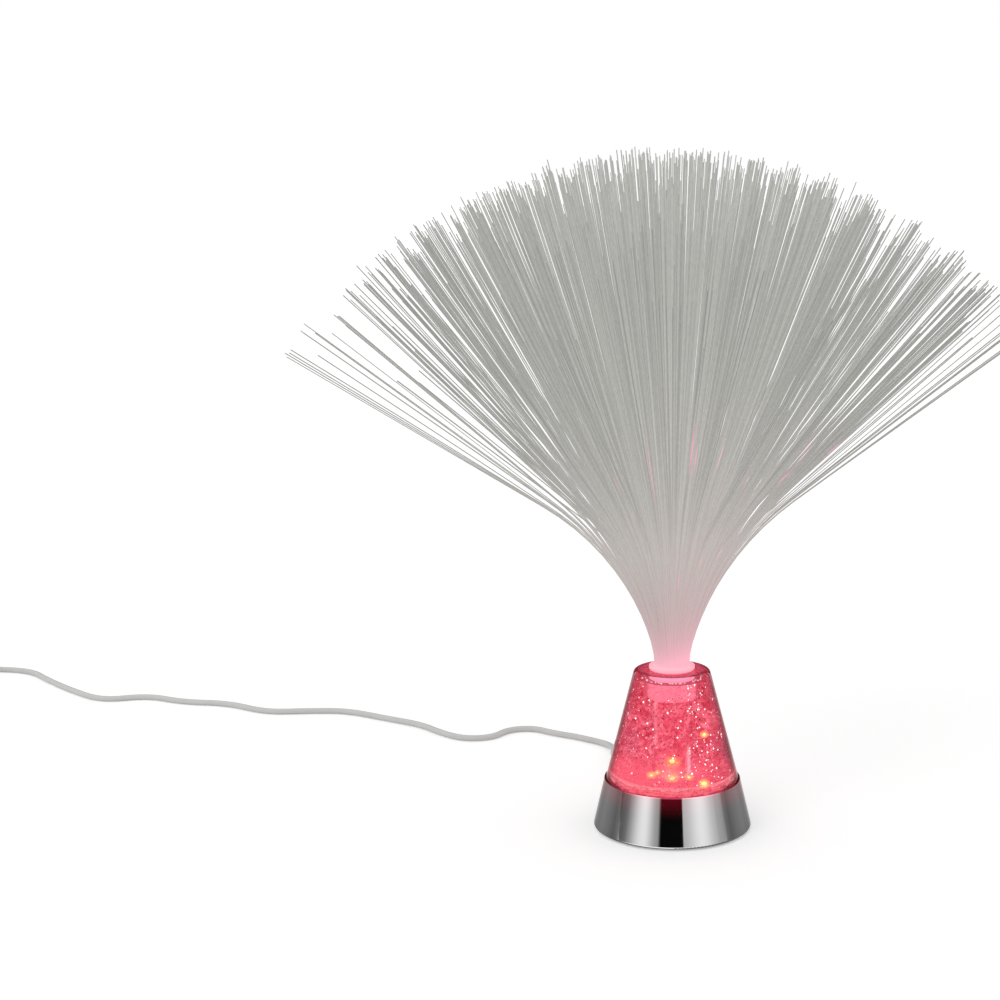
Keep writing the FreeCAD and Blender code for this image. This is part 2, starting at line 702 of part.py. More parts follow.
def make_button():
    """Panel push-button in the back wall: body, nut, terminals, leads and the moving cap."""
    seat = button_seat()
    inner_end = Vector(0, 0, -button_barrel_length)
    barrel = Part.makeCylinder(button_barrel_radius, button_barrel_length, inner_end)
    bezel = Part.makeCylinder(button_bezel_radius, button_bezel_height)
    bezel = bezel.makeChamfer(button_bezel_height / 3, [bezel.Edges[0]])
    cap_base = -(button_travel + button_fit)
    well_floor = cap_base - button_travel - button_fit
    well = Part.makeCylinder(button_cap_radius + button_fit, 20, Vector(0, 0, well_floor))
    stem_bore = Part.makeCylinder(button_stem_radius + button_fit, -well_floor + 20,
                                  Vector(0, 0, -button_barrel_length + 1.0))
    body = fused([barrel, bezel]).cut(well).cut(stem_bore)
    save("button_body", in_wall(body, seat, button_out))
    nut = Part.Face(Part.makePolygon([
        Vector(button_nut_radius * math.cos(math.radians(60 * i)),
               button_nut_radius * math.sin(math.radians(60 * i)),
               -panel_thickness - button_nut_height) for i in range(7)]))
    nut = nut.extrude(UP * button_nut_height)
    nut = nut.cut(Part.makeCylinder(button_barrel_radius + glue_gap, 30, Vector(0, 0, -15)))
    save("button_nut", in_wall(nut, seat, button_out))
    cap = Part.makeCylinder(button_cap_radius, button_cap_proud + button_bezel_height - cap_base,
                            Vector(0, 0, cap_base))
    cap_top = button_cap_proud + button_bezel_height
    cap = rounded_edges(cap, button_cap_rounding, button_cap_radius, cap_top)
    stem_end = -button_barrel_length + 1.0 + button_travel + button_fit
    stem = Part.makeCylinder(button_stem_radius, cap_base - stem_end, Vector(0, 0, stem_end))
    save("button_cap", in_wall(fused([cap, stem]), seat, button_out))
    terminals = [Part.makeBox(terminal_width, terminal_width, terminal_length,
                              Vector(x - terminal_width / 2, -terminal_width / 2,
                                     -button_barrel_length - terminal_length))
                 for x in (-terminal_spacing / 2, terminal_spacing / 2)]
    save("button_terminals", in_wall(Part.makeCompound(terminals), seat, button_out))


def level_lead(start, inward, length, top):
    """A thin wire that runs level from start, turns up and ends under the board."""
    corner = start + inward * length
    tube, _, _ = polyline_tube([start, corner, Vector(corner.x, corner.y, top)], lead_radius)
    return tube


def make_leads():
    """Two leads from the cord's end and two from the button, all up to the board's underside."""
    leads = []
    across = UP.cross(gland_out)
    for side in (-1, 1):
        start = gland_out * (jacket_end_circle - glue_gap) + UP * gland_height
        start = start + across * (side * lead_spacing / 2)
        leads.append(level_lead(start, gland_out * -1, lead_run, board_bottom))
    save("cord_leads", Part.makeCompound(leads))
    leads = []
    out = direction(button_angle)
    across = UP.cross(out)
    terminal_end = button_seat() - button_out * (button_barrel_length + terminal_length)
    for side in (-1, 1):
        start = terminal_end - out * terminal_width + across * (side * terminal_spacing / 2)
        reach = start.dot(out) - board_radius + lead_run
        leads.append(level_lead(start, out * -1, reach, board_bottom))
    save("button_leads", Part.makeCompound(leads))


# ---------------------------------------------------------------- cord
def make_gland():
    """Gland snapped through the wall, with a tapered strain relief outside and a lock ring inside."""
    bore = cord_radius + cord_grip
    mouth = gland_flange_height + gland_sleeve_length
    profile = [
        (bore, -panel_thickness - gland_lock_height),
        (gland_lock_radius, -panel_thickness - gland_lock_height),
        (gland_lock_radius, -panel_thickness), (gland_neck_radius, -panel_thickness),
        (gland_neck_radius, 0), (gland_flange_radius, 0), (gland_flange_radius, gland_flange_height),
        (gland_sleeve_radius, gland_flange_height),
        (gland_tip_radius, mouth), (bore + gland_flare, mouth), (bore, mouth - gland_flare_length)]
    save("cord_gland", in_wall(revolved(profile), gland_seat(), gland_out))


def make_clamp():
    """Bar over the cord inside the base, held by two small screws."""
    bottom = gland_height + cord_radius + cord_grip
    half_length = clamp_screw_offset + clamp_post_radius + 0.4
    corner = Vector(-clamp_width / 2, -half_length, bottom)
    bar = Part.makeBox(clamp_width, 2 * half_length, clamp_thickness, corner)
    for side in (-1, 1):
        hole = disc(clamp_screw_radius + thread_clearance, bottom - 1, bottom + clamp_thickness + 1,
                    (0, side * clamp_screw_offset))
        bar = bar.cut(hole)
    save("cord_clamp", clamp_frame(bar))
    screw = pan_screw(clamp_screw_head_radius, clamp_screw_head_height, clamp_screw_radius,
                      clamp_thickness + clamp_screw_grip, small_slot_width)
    centres = [(0, side * clamp_screw_offset) for side in (-1, 1)]
    save("clamp_screws", clamp_frame(screws_down(screw, centres, bottom + clamp_thickness)))


def cord_points():
    """The cord's line: out of the base, down to the table and along it to the coil."""
    exit_reach = gland_seat().dot(gland_out) + gland_flange_height + gland_sleeve_length + first_run
    points = [gland_out * jacket_end_circle + UP * gland_height, gland_out * exit_reach + UP * gland_height]
    heights = [drop_height] + [cord_rest] * (len(CORD_ROUTE) - 1)
    points += [Vector(x, y, z) for (x, y), z in zip(CORD_ROUTE, heights)]
    points.append(coil_centre + Vector(0, coil_turn_radius, cord_rest))
    return points


def make_coil():
    """The outer shape of the wound cord: a low ring with rounded edges."""
    coil = ring(coil_outer_radius, coil_inner_radius, table_gap, table_gap + coil_height)
    for radius in (coil_outer_radius, coil_inner_radius):
        for z in (table_gap, table_gap + coil_height):
            coil = rounded_edges(coil, coil_rounding, radius, z)
    return coil.translated(coil_centre)


def make_cord():
    """Cord, coil, short tail and the plug on its end."""
    coil = make_coil()
    tube = checked_tube("power_cord", cord_points(), cord_radius)
    save("power_cord", tube.cut(coil))
    save("cord_coil", coil)
    tail_start = coil_centre + Vector(-coil_turn_radius, 0, coil_height - cord_radius + table_gap)
    plug_middle = plug_body_thickness / 2 + table_gap
    plug_start = Vector(tail_start.x, tail_start.y - tail_length, plug_middle)
    tail_middle = (tail_start + plug_start) * 0.5 + Vector(-tail_sway, 0, tail_rise)
    tail = checked_tube("cord_tail", [tail_start, tail_middle, plug_start], cord_radius)
    plug_body = make_plug(plug_start)
    save("cord_tail", tail.cut(coil).cut(plug_body))


def make_plug(start):
    """USB-A plug lying flat, pointing to -Y: body, metal shell, tongue and contacts; returns the body."""
    relief = Part.makeCone(plug_relief_radius, plug_relief_foot_radius, plug_relief_length,
                           start, Vector(0, -1, 0))
    face = start.y - plug_relief_length - plug_body_length
    body = Part.makeBox(plug_body_width, plug_body_length, plug_body_thickness,
                        Vector(start.x - plug_body_width / 2, face, start.z - plug_body_thickness / 2))
    long_edges = [e for e in body.Edges if e.BoundBox.YLength > plug_body_length - 1e-3]
    body = body.makeFillet(plug_body_thickness / 4, long_edges)

    def bar(width, thickness, middle_z, back, front):
        """A flat bar along Y about the plug's middle; back and front count from the body's face."""
        corner = Vector(start.x - width / 2, face - front, middle_z - thickness / 2)
        return Part.makeBox(width, front - back, thickness, corner)

    envelope = bar(plug_shell_width, plug_shell_thickness, start.z, -plug_seating, plug_shell_length)
    inside = bar(plug_shell_width - 2 * plug_shell_wall, plug_shell_thickness - 2 * plug_shell_wall, start.z,
                 -plug_seating - 1, plug_shell_length + 1)
    body = fused([relief, body]).cut(envelope)
    save("plug_body", body)
    windows = [bar(plug_window_width, plug_shell_thickness * 2, start.z, plug_window_setback,
                   plug_window_setback + plug_window_length).translated(Vector(x, 0, 0))
               for x in (-plug_window_offset, plug_window_offset)]
    save("plug_shell", envelope.cut(inside).cut(Part.makeCompound(windows)))
    tongue_bottom = start.z - plug_shell_thickness / 2 + plug_shell_wall + glue_gap
    tongue = bar(plug_tongue_width, plug_tongue_thickness, tongue_bottom + plug_tongue_thickness / 2,
                 -plug_seating, plug_shell_length - plug_tongue_setback)
    pitch = plug_tongue_width / plug_contact_count
    contact_z = tongue_bottom + plug_tongue_thickness - plug_contact_thickness / 2
    contacts = Part.makeCompound([
        bar(plug_contact_width, plug_contact_thickness, contact_z, plug_contact_setback,
            plug_shell_length - plug_contact_setback).translated(Vector(
                (i - (plug_contact_count - 1) / 2) * pitch, 0, 0))
        for i in range(plug_contact_count)])
    save("plug_tongue", tongue.cut(contacts))
    save("plug_contacts", contacts)
    return body


make_base()
make_vessel()
make_collar()
make_bundle()
make_board()
make_button()
make_leads()
make_gland()
make_clamp()
make_cord()
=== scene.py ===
"""Looks of a fiber optic lamp: plated base, glitter vessel, spray of light-guiding fibres and power cord."""
import logging
import math
from dataclasses import dataclass
from enum import Enum
from typing import Protocol

import bpy
import numpy as np
from mathutils import Matrix


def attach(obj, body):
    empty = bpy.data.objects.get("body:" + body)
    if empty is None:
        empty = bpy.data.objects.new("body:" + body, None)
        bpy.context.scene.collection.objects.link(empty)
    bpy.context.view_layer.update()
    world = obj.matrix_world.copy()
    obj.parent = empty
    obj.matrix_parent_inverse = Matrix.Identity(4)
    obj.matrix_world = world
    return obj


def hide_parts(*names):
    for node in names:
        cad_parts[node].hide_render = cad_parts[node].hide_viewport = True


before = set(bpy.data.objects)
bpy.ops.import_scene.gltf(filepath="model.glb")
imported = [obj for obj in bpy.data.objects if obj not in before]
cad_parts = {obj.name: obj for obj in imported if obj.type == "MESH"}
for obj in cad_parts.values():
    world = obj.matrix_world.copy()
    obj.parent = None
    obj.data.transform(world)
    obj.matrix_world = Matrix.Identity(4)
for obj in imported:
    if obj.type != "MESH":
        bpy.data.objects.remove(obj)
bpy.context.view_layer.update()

log = logging.getLogger("lamp")
MM = 0.001
Colour = tuple[float, float, float]
Range = tuple[float, float]
Socket = bpy.types.NodeSocket
Material = bpy.types.Material
BLACK: Colour = (0.0, 0.0, 0.0)
WHITE: Colour = (1.0, 1.0, 1.0)


def tint(red: float, green: float, blue: float) -> Colour:
    """Turn a screen colour from 0 to 255 into the linear colour that a shader takes.

    Args:
        red, green, blue: the colour as a screen shows it.

    Returns:
        The linear colour: the screen value over 255, with the screen's curve taken off.
    """
    parts = np.array([red, green, blue], float) / 255.0
    flat = np.where(parts <= 0.04045, parts / 12.92, ((parts + 0.055) / 1.055) ** 2.4)
    return tuple(float(v) for v in flat)


def grey(level: float) -> Colour:
    """The linear colour whose three parts are this level."""
    return (level, level, level)


class Body(Enum):
    """The bodies that new pieces ride on."""

    BASE = "base"
    BUNDLE = "bundle"


class Finish(Protocol):
    """Anything that can make its material."""

    def make(self) -> Material:
        """Build the material.

        Returns:
            The new material.
        """


class Wiring:
    """Adds the nodes of one node tree and joins them by short calls."""

    def __init__(self, tree: bpy.types.NodeTree) -> None:
        """Keep the tree."""
        self.tree = tree

    def feed(self, node: bpy.types.Node, inputs: dict) -> None:
        """Join outputs to a node's inputs, or set the inputs' own values.

        Args:
            node: the node.
            inputs: input name or number, with a number, a colour, a vector or an output socket.
        """
        for key, value in inputs.items():
            socket = node.inputs[key]
            if isinstance(value, Socket):
                self.tree.links.new(value, socket)
            else:
                socket.default_value = (*value, 1.0) if socket.type == "RGBA" else value

    def add(self, kind: str, inputs: dict | None = None, **settings: object) -> bpy.types.Node:
        """Add a shader node.

        Args:
            kind: the node's type without its ShaderNode prefix.
            inputs: input name or number, with a value or an output socket.
            settings: properties of the node.

        Returns:
            The new node.
        """
        node = self.tree.nodes.new("ShaderNode" + kind)
        for name, value in settings.items():
            setattr(node, name, value)
        self.feed(node, inputs or {})
        return node

    def math(self, operation: str, first: object, second: object = 0.0, clamp: bool = False) -> Socket:
        """One Math node; returns its value."""
        return self.add("Math", {0: first, 1: second}, operation=operation, use_clamp=clamp).outputs[0]

    def vector(self, operation: str, first: object, second: object = BLACK) -> bpy.types.NodeOutputs:
        """The outputs of one Vector Math node: the vector and the value."""
        return self.add("VectorMath", {0: first, 1: second}, operation=operation).outputs

    def plus(self, first: object, second: object, clamp: bool = False) -> Socket:
        """The sum of two values."""
        return self.math("ADD", first, second, clamp)

    def times(self, first: object, *others: object) -> Socket:
        """The product of values.

        Args:
            first: a value or an output socket.
            others: what it is multiplied by, in turn.

        Returns:
            The socket of the last product.
        """
        for other in others:
            first = self.math("MULTIPLY", first, other)
        return first

    def rest(self, value: object) -> Socket:
        """What a value lacks to 1."""
        return self.math("SUBTRACT", 1.0, value)

    def ease(self, value: object, start: float, end: float, low: float = 0.0, high: float = 1.0) -> Socket:
        """Map a value smoothly from the range start to end onto low to high, clamped at both."""
        inputs = {"Value": value, "From Min": start, "From Max": end, "To Min": low, "To Max": high}
        return self.add("MapRange", inputs, interpolation_type="SMOOTHSTEP").outputs["Result"]

    def fade(self, value: object, start: float, end: float, left: float = 0.0) -> Socket:
        """1 up to the start, falling smoothly to what is left at the end."""
        return self.ease(value, start, end, 1.0, left)

    def spread(self, noise: object, low: float, high: float) -> Socket:
        """Map a noise, which mostly lies between 0.3 and 0.7, onto low to high."""
        return self.ease(noise, 0.3, 0.7, low, high)

    def mix(self, factor: object, first: object, second: object, way: str = "MIX") -> Socket:
        """Mix two colours by a factor; returns the colour."""
        node = self.add("Mix", {0: factor, 6: first, 7: second}, data_type="RGBA", blend_type=way)
        return node.outputs[2]

    def shade(self, colour: object, by: object) -> Socket:
        """A colour times a value or another colour."""
        return self.mix(1.0, colour, by, "MULTIPLY")

    def ramp(self, value: object, stops: list[tuple[float, Colour]], way: str = "LINEAR") -> Socket:
        """A colour ramp.

        Args:
            value: the socket that drives it.
            stops: pairs of place and linear colour.
            way: LINEAR to run evenly between the stops, EASE to run smoothly.

        Returns:
            The colour socket.
        """
        node = self.add("ValToRGB", {0: value})
        node.color_ramp.interpolation = way
        elements = node.color_ramp.elements
        for element, (where, colour) in zip(elements, (stops[0], stops[-1])):
            element.position, element.color = where, (*colour, 1.0)
        for where, colour in stops[1:-1]:
            elements.new(where).color = (*colour, 1.0)
        return node.outputs["Color"]

    def noise(self, where: object, scale: object, detail: float = 2.0, roughness: float = 0.5,
              distortion: float = 0.0, output: str = "Fac") -> Socket:
        """Value or colour of a noise texture.

        Args:
            where: the place that it reads.
            scale, detail, roughness, distortion: the texture's own settings.
            output: Fac for its value, Color for its colour.

        Returns:
            The socket of that output.
        """
        inputs = {"Vector": where, "Scale": scale, "Detail": detail, "Roughness": roughness,
                  "Distortion": distortion}
        return self.add("TexNoise", inputs).outputs[output]

    def cells(self, where: object, scale: object, feature: str = "F1",
              randomness: float = 1.0) -> bpy.types.NodeOutputs:
        """The outputs of a cell texture, with its Distance and Color."""
        inputs = {"Vector": where, "Scale": scale, "Randomness": randomness}
        return self.add("TexVoronoi", inputs, feature=feature).outputs

    def place(self, scale: tuple[float, float, float] = WHITE) -> Socket:
        """Object coordinates, scaled by a Mapping node."""
        coordinates = self.add("TexCoord").outputs["Object"]
        return self.add("Mapping", {"Vector": coordinates, "Scale": scale}).outputs[0]

    def axes(self, where: object) -> bpy.types.NodeOutputs:
        """The X, Y and Z of a place."""
        return self.add("SeparateXYZ", {0: where}).outputs

    def reach(self, where: object) -> Socket:
        """Distance of a place from the Z axis: the length of the vector without its Z."""
        flat = self.vector("MULTIPLY", where, (1.0, 1.0, 0.0))[0]
        return self.vector("LENGTH", flat)["Value"]

    def facing(self) -> Socket:
        """How far the surface turns from the eye: 0 face on, 1 edge on."""
        return self.add("LayerWeight", {"Blend": 0.5}).outputs["Facing"]

    def rays(self, *kinds: str) -> Socket:
        """1 for rays of these kinds, 0 for all others.

        Args:
            kinds: kinds of rays, as the Light Path node names them.

        Returns:
            The socket of the mask.
        """
        path = self.add("LightPath").outputs
        found = path[f"Is {kinds[0]} Ray"]
        for kind in kinds[1:]:
            found = self.math("MAXIMUM", found, path[f"Is {kind} Ray"])
        return found

    def attribute(self, name: str) -> Socket:
        """The value that a mesh carries under this name."""
        return self.add("Attribute", attribute_name=name).outputs["Fac"]

    def bump(self, height: object, distance: float) -> Socket:
        """The normal bent by a height."""
        return self.add("Bump", {"Height": height, "Distance": distance, "Strength": 1.0}).outputs[0]

    def group(self, tree: bpy.types.NodeTree, where: object, **values: object) -> bpy.types.NodeOutputs:
        """Place a shared group; returns its outputs."""
        return self.add("Group", {"where": where, **values}, node_tree=tree).outputs


def new_group(name: str, takes: tuple[str, ...],
              gives: tuple[str, ...]) -> tuple[Wiring, bpy.types.NodeOutputs, bpy.types.Node]:
    """Start a shader node group. It takes a vector named where, and values.

    Args:
        name: the group's name.
        takes: names of the values that it takes.
        gives: names of the values that it gives.

    Returns:
        The group's wiring, what it takes, and the node that its results go to.
    """
    tree = bpy.data.node_groups.new(name, "ShaderNodeTree")
    tree.interface.new_socket("where", in_out="INPUT", socket_type="NodeSocketVector")
    for labels, side in ((takes, "INPUT"), (gives, "OUTPUT")):
        for label in labels:
            tree.interface.new_socket(label, in_out=side, socket_type="NodeSocketFloat")
    start = tree.nodes.new("NodeGroupInput")
    return Wiring(tree), start.outputs, tree.nodes.new("NodeGroupOutput")


class Effects:
    """Surface effects that several finishes share, each built once as a node group."""

    def __init__(self) -> None:
        """Build every group."""
        self.grain = self._grain()
        self.marks = self._marks()
        self.dust = self._dust()
        self.edge_band = self._edge_band()
        self.swirl = self._swirl()

    @staticmethod
    def _grain() -> bpy.types.NodeTree:
        """Fine moulded grain: two noises, one three times finer, and a slow shade.

        Returns:
            The group's tree.
        """
        wiring, takes, end = new_group("moulded grain", ("size", "amount"), ("height", "shade"))
        where, size = takes["where"], takes["size"]
        coarse = wiring.noise(where, size, 3.0)
        fine = wiring.noise(where, wiring.times(size, 3.1), 2.0)
        slow = wiring.noise(where, wiring.times(size, 0.06), 3.0)
        swing = wiring.times(wiring.math("SUBTRACT", slow, 0.5), takes["amount"])
        wiring.feed(end, {"height": wiring.plus(wiring.times(coarse, 0.65), wiring.times(fine, 0.35)),
                          "shade": wiring.plus(swing, 1.0)})
        return wiring.tree

    @staticmethod
    def _marks() -> bpy.types.NodeTree:
        """Handling marks: hairlines from a noise drawn out sideways, and soft smudges.

        Returns:
            The group's tree.
        """
        wiring, takes, end = new_group("handling marks", ("amount",), ("hairlines", "smudges"))
        where, amount = takes["where"], takes["amount"]
        drawn_out = wiring.add("Mapping", {"Vector": where, "Scale": (90.0, 90.0, 2600.0)}).outputs[0]
        hair = wiring.ease(wiring.noise(drawn_out, 1.0, 4.0, 0.62), 0.58, 0.74)
        smudge = wiring.ease(wiring.noise(where, 85.0, 4.0, 0.6, 0.8), 0.46, 0.72)
        wiring.feed(end, {"hairlines": wiring.times(hair, amount), "smudges": wiring.times(smudge, amount)})
        return wiring.tree

    @staticmethod
    def _dust() -> bpy.types.NodeTree:
        """Loose dust: small cells kept where a slow noise is high.

        Returns:
            The group's tree.
        """
        wiring, takes, end = new_group("loose dust", ("amount",), ("mask",))
        where = takes["where"]
        speck = wiring.fade(wiring.cells(where, 1500.0)["Distance"], 0.05, 0.22)
        patch = wiring.ease(wiring.noise(where, 130.0, 3.0), 0.45, 0.7)
        wiring.feed(end, {"mask": wiring.times(speck, patch, takes["amount"])})
        return wiring.tree

    @staticmethod
    def _edge_band() -> bpy.types.NodeTree:
        """Edge wear: 1 at a height, falling to 0 over a width above and below, broken up by noise.

        Returns:
            The group's tree.
        """
        wiring, takes, end = new_group("edge band", ("level", "width"), ("mask",))
        where = takes["where"]
        away = wiring.math("ABSOLUTE", wiring.math("SUBTRACT", wiring.axes(where)["Z"], takes["level"]))
        near = wiring.math("SUBTRACT", 1.0, wiring.math("DIVIDE", away, takes["width"]), clamp=True)
        ragged = wiring.ease(wiring.noise(where, 420.0, 4.0, 0.65), 0.35, 0.65, 0.25, 1.0)
        wiring.feed(end, {"mask": wiring.times(near, ragged)})
        return wiring.tree

    @staticmethod
    def _swirl() -> bpy.types.NodeTree:
        """Stirred glitter: slow folds, fine mottling, dark specks and a few bright glints.

        Folds and mottling come from noises at a place that another noise pushes about by up to 8 mm. Of
        the small cells, those whose own random value is high hold a speck or a glint in their middle.

        Returns:
            The group's tree.
        """
        wiring, takes, end = new_group("stirred glitter", (), ("folds", "mottle", "specks", "glints"))
        where = takes["where"]
        push = wiring.vector("SUBTRACT", wiring.noise(where, 70.0, output="Color"), grey(0.5))[0]
        there = wiring.vector("ADD", where, wiring.vector("MULTIPLY", push, grey(0.016))[0])[0]
        found = {"folds": wiring.noise(there, 120.0, 3.0, 0.55, 2.2),
                 "mottle": wiring.noise(there, 560.0, 5.0, 0.72, 0.6)}
        for name, scale, channel, size, chosen in (("specks", 820.0, "Red", (0.18, 0.42), (0.5, 0.62)),
                                                   ("glints", 640.0, "Green", (0.14, 0.36), (0.9, 0.95))):
            cell = wiring.cells(where, scale)
            own = wiring.add("SeparateColor", {0: cell["Color"]}).outputs[channel]
            found[name] = wiring.times(wiring.fade(cell["Distance"], *size),
                                       wiring.ease(own, *chosen))
        wiring.feed(end, found)
        return wiring.tree


def new_material(name: str) -> tuple[Material, Wiring, bpy.types.Node]:
    """Start a material.

    Args:
        name: the material's name.

    Returns:
        The material, its wiring and its Principled shader.
    """
    material = bpy.data.materials.new(name)
    material.use_nodes = True
    shader = next(n for n in material.node_tree.nodes if n.type == "BSDF_PRINCIPLED")
    return material, Wiring(material.node_tree), shader


EFFECTS = Effects()


@dataclass(frozen=True)
class MouldedPlastic:
    """A moulded plastic, rubber or milky finish with grain, a slow shade and a little dust."""

    name: str
    colour: Colour
    roughness: float = 0.45
    grain_size: float = 1400.0
    grain_depth: float = 0.02 * MM
    shade: float = 0.12
    dust: float = 0.15
    glow: Colour = BLACK
    glow_strength: float = 0.0

    def make(self) -> Material:
        """Build the material.

        Returns:
            The new material.
        """
        material, wiring, shader = new_material(self.name)
        where = wiring.place()
        grain = wiring.group(EFFECTS.grain, where, size=self.grain_size, amount=self.shade)
        dust = wiring.group(EFFECTS.dust, where, amount=self.dust)["mask"]
        dusty = tuple(0.6 * c + 0.3 for c in self.colour)
        wiring.feed(shader, {
            "Base Color": wiring.mix(dust, wiring.shade(self.colour, grain["shade"]), dusty),
            "Roughness": wiring.plus(wiring.times(grain["shade"], self.roughness), dust, clamp=True),
            "Normal": wiring.bump(grain["height"], self.grain_depth)})
        if self.glow_strength > 0.0:
            wiring.feed(shader, {"Emission Color": wiring.shade(self.glow, grain["shade"]),
                                 "Emission Strength": self.glow_strength})
        return material


@dataclass(frozen=True)
class BareMetal:
    """A metal finish with hairlines, smudges and wear at the heights of two edges."""

    name: str
    colour: Colour
    roughness: float = 0.12
    marks: float = 0.5
    hairline_depth: float = 0.0015 * MM
    edges: Range = (0.0, 0.0)
    edge_width: float = 1.2 * MM
    away: tuple[tuple[float, float], ...] = ()     # painted shade: brightness of the mirror image kept, by how far the metal turns from the eye
    grazing: float = 1.0           # share of the mirror image kept where the metal is seen edge on
    spill: Colour = BLACK          # light that reaches down from the rim
    spill_from: float = 0.0
    spill_to: float = 0.0
    lip_reflection: Colour = BLACK            # painted reflection of the lit vessel just below the rim, where that looks forward
    lip_depths: Range = (0.9 * MM, 0.3 * MM)
    lip_front: Range = (-30.0 * MM, -22.0 * MM)

    def make(self) -> Material:
        """Build the material, with the light from the rim where spill_to is above spill_from.

        Returns:
            The new material.
        """
        material, wiring, shader = new_material(self.name)
        where = wiring.place()
        marks = wiring.group(EFFECTS.marks, where, amount=self.marks)
        bands = [wiring.group(EFFECTS.edge_band, where, level=level, width=self.edge_width)["mask"]
                 for level in self.edges]
        wear = wiring.times(wiring.math("MAXIMUM", *bands), 0.35)
        dull = tuple(0.8 * c for c in self.colour)
        tone = wiring.mix(wiring.times(marks["smudges"], 0.25), self.colour, dull)
        tone = wiring.mix(wear, tone, dull)
        # painted shade on the mirror image, by how far the metal turns from the eye
        if self.away:
            kept = wiring.ramp(wiring.facing(), [(turn, grey(share)) for turn, share in self.away])
            tone = wiring.shade(tone, kept)
        rough = wiring.plus(wiring.times(marks["smudges"], 0.07), self.roughness)
        wiring.feed(shader, {
            "Base Color": tone, "Metallic": 1.0, "Specular Tint": grey(self.grazing),
            "Roughness": wiring.plus(rough, wiring.times(wear, 0.12)),
            "Normal": wiring.bump(marks["hairlines"], self.hairline_depth)})
        if self.spill_to > self.spill_from:
            axes = wiring.axes(where)
            spill = wiring.mix(wiring.ease(axes["Z"], self.spill_from, self.spill_to), BLACK, self.spill)
            # painted reflection of the lit vessel along the lip in front
            lip_heights = (self.spill_to - depth for depth in self.lip_depths)
            at_lip = wiring.times(wiring.ease(axes["Z"], *lip_heights),
                                  wiring.fade(axes["Y"], *self.lip_front))
            wiring.feed(shader, {"Emission Color": wiring.mix(at_lip, spill, self.lip_reflection),
                                 "Emission Strength": 1.0})
        return material


class ClearSide(Enum):
    """The faces of the vessel's clear wall, in the order of its material slots."""

    OUTSIDE = 0
    INSIDE = 1
    TOP = 2


@dataclass(frozen=True)
class ClearAcrylic:
    """Clear acrylic for one side of the wall, with a painted dark red edge where the outside turns from the
    eye.
    """

    name: str
    side: ClearSide
    bend: float = 1.09
    roughness: float = 0.02
    colour: Colour = WHITE
    # painted shade: the dark red at the wall's outline
    edge: Colour = tint(130, 32, 52)
    hairline_depth: float = 0.001 * MM

    def make(self) -> Material:
        """Build the material.

        Returns:
            The new material.
        """
        material, wiring, shader = new_material(self.name)
        marks = wiring.group(EFFECTS.marks, wiring.place(), amount=0.5)
        colour = wiring.mix(marks["smudges"], self.colour, tuple(0.94 * c for c in self.colour))
        if self.side is ClearSide.OUTSIDE:
            colour = wiring.mix(wiring.ease(wiring.facing(), 0.5, 0.75), colour, self.edge)
        wiring.feed(shader, {
            "Base Color": colour, "Transmission Weight": 1.0, "IOR": self.bend,
            "Roughness": wiring.plus(wiring.times(marks["smudges"], 0.05), self.roughness)})
        if self.side is not ClearSide.INSIDE:
            wiring.feed(shader, {"Normal": wiring.bump(marks["hairlines"], self.hairline_depth)})
        return material


@dataclass(frozen=True)
class TopFace:
    """The flat top of the vessel, painted with the lit fluid seen through it and painted darker towards the
    rim.
    """

    name: str = "vessel top face"
    # painted: the lit fluid seen through the top, glowing, darker towards the rim
    middle: Colour = tint(212, 74, 98)
    rim: Colour = tint(142, 40, 60)
    speck: Colour = tint(70, 16, 30)
    blend: Range = (12.0 * MM, 19.0 * MM)      # distances from the axis between which middle turns into rim

    def make(self) -> Material:
        """Build the material.

        Returns:
            The new material.
        """
        material, wiring, shader = new_material(self.name)
        where = wiring.place()
        swirl = wiring.group(EFFECTS.swirl, where)
        ragged = wiring.plus(wiring.ease(wiring.reach(where), *self.blend),
                             wiring.spread(swirl["folds"], -0.25, 0.25), clamp=True)
        colour = wiring.mix(ragged, self.middle, self.rim)
        colour = wiring.mix(wiring.times(swirl["specks"], 0.8), colour, self.speck)
        colour = wiring.shade(colour, wiring.spread(swirl["mottle"], 0.6, 1.4))
        wiring.feed(shader, {
            "Base Color": wiring.mix(0.85, colour, (0.05, 0.01, 0.015)), "Emission Color": colour,
            "Emission Strength": 0.8, "Roughness": 0.08, "Specular IOR Level": 0.06})
        return material


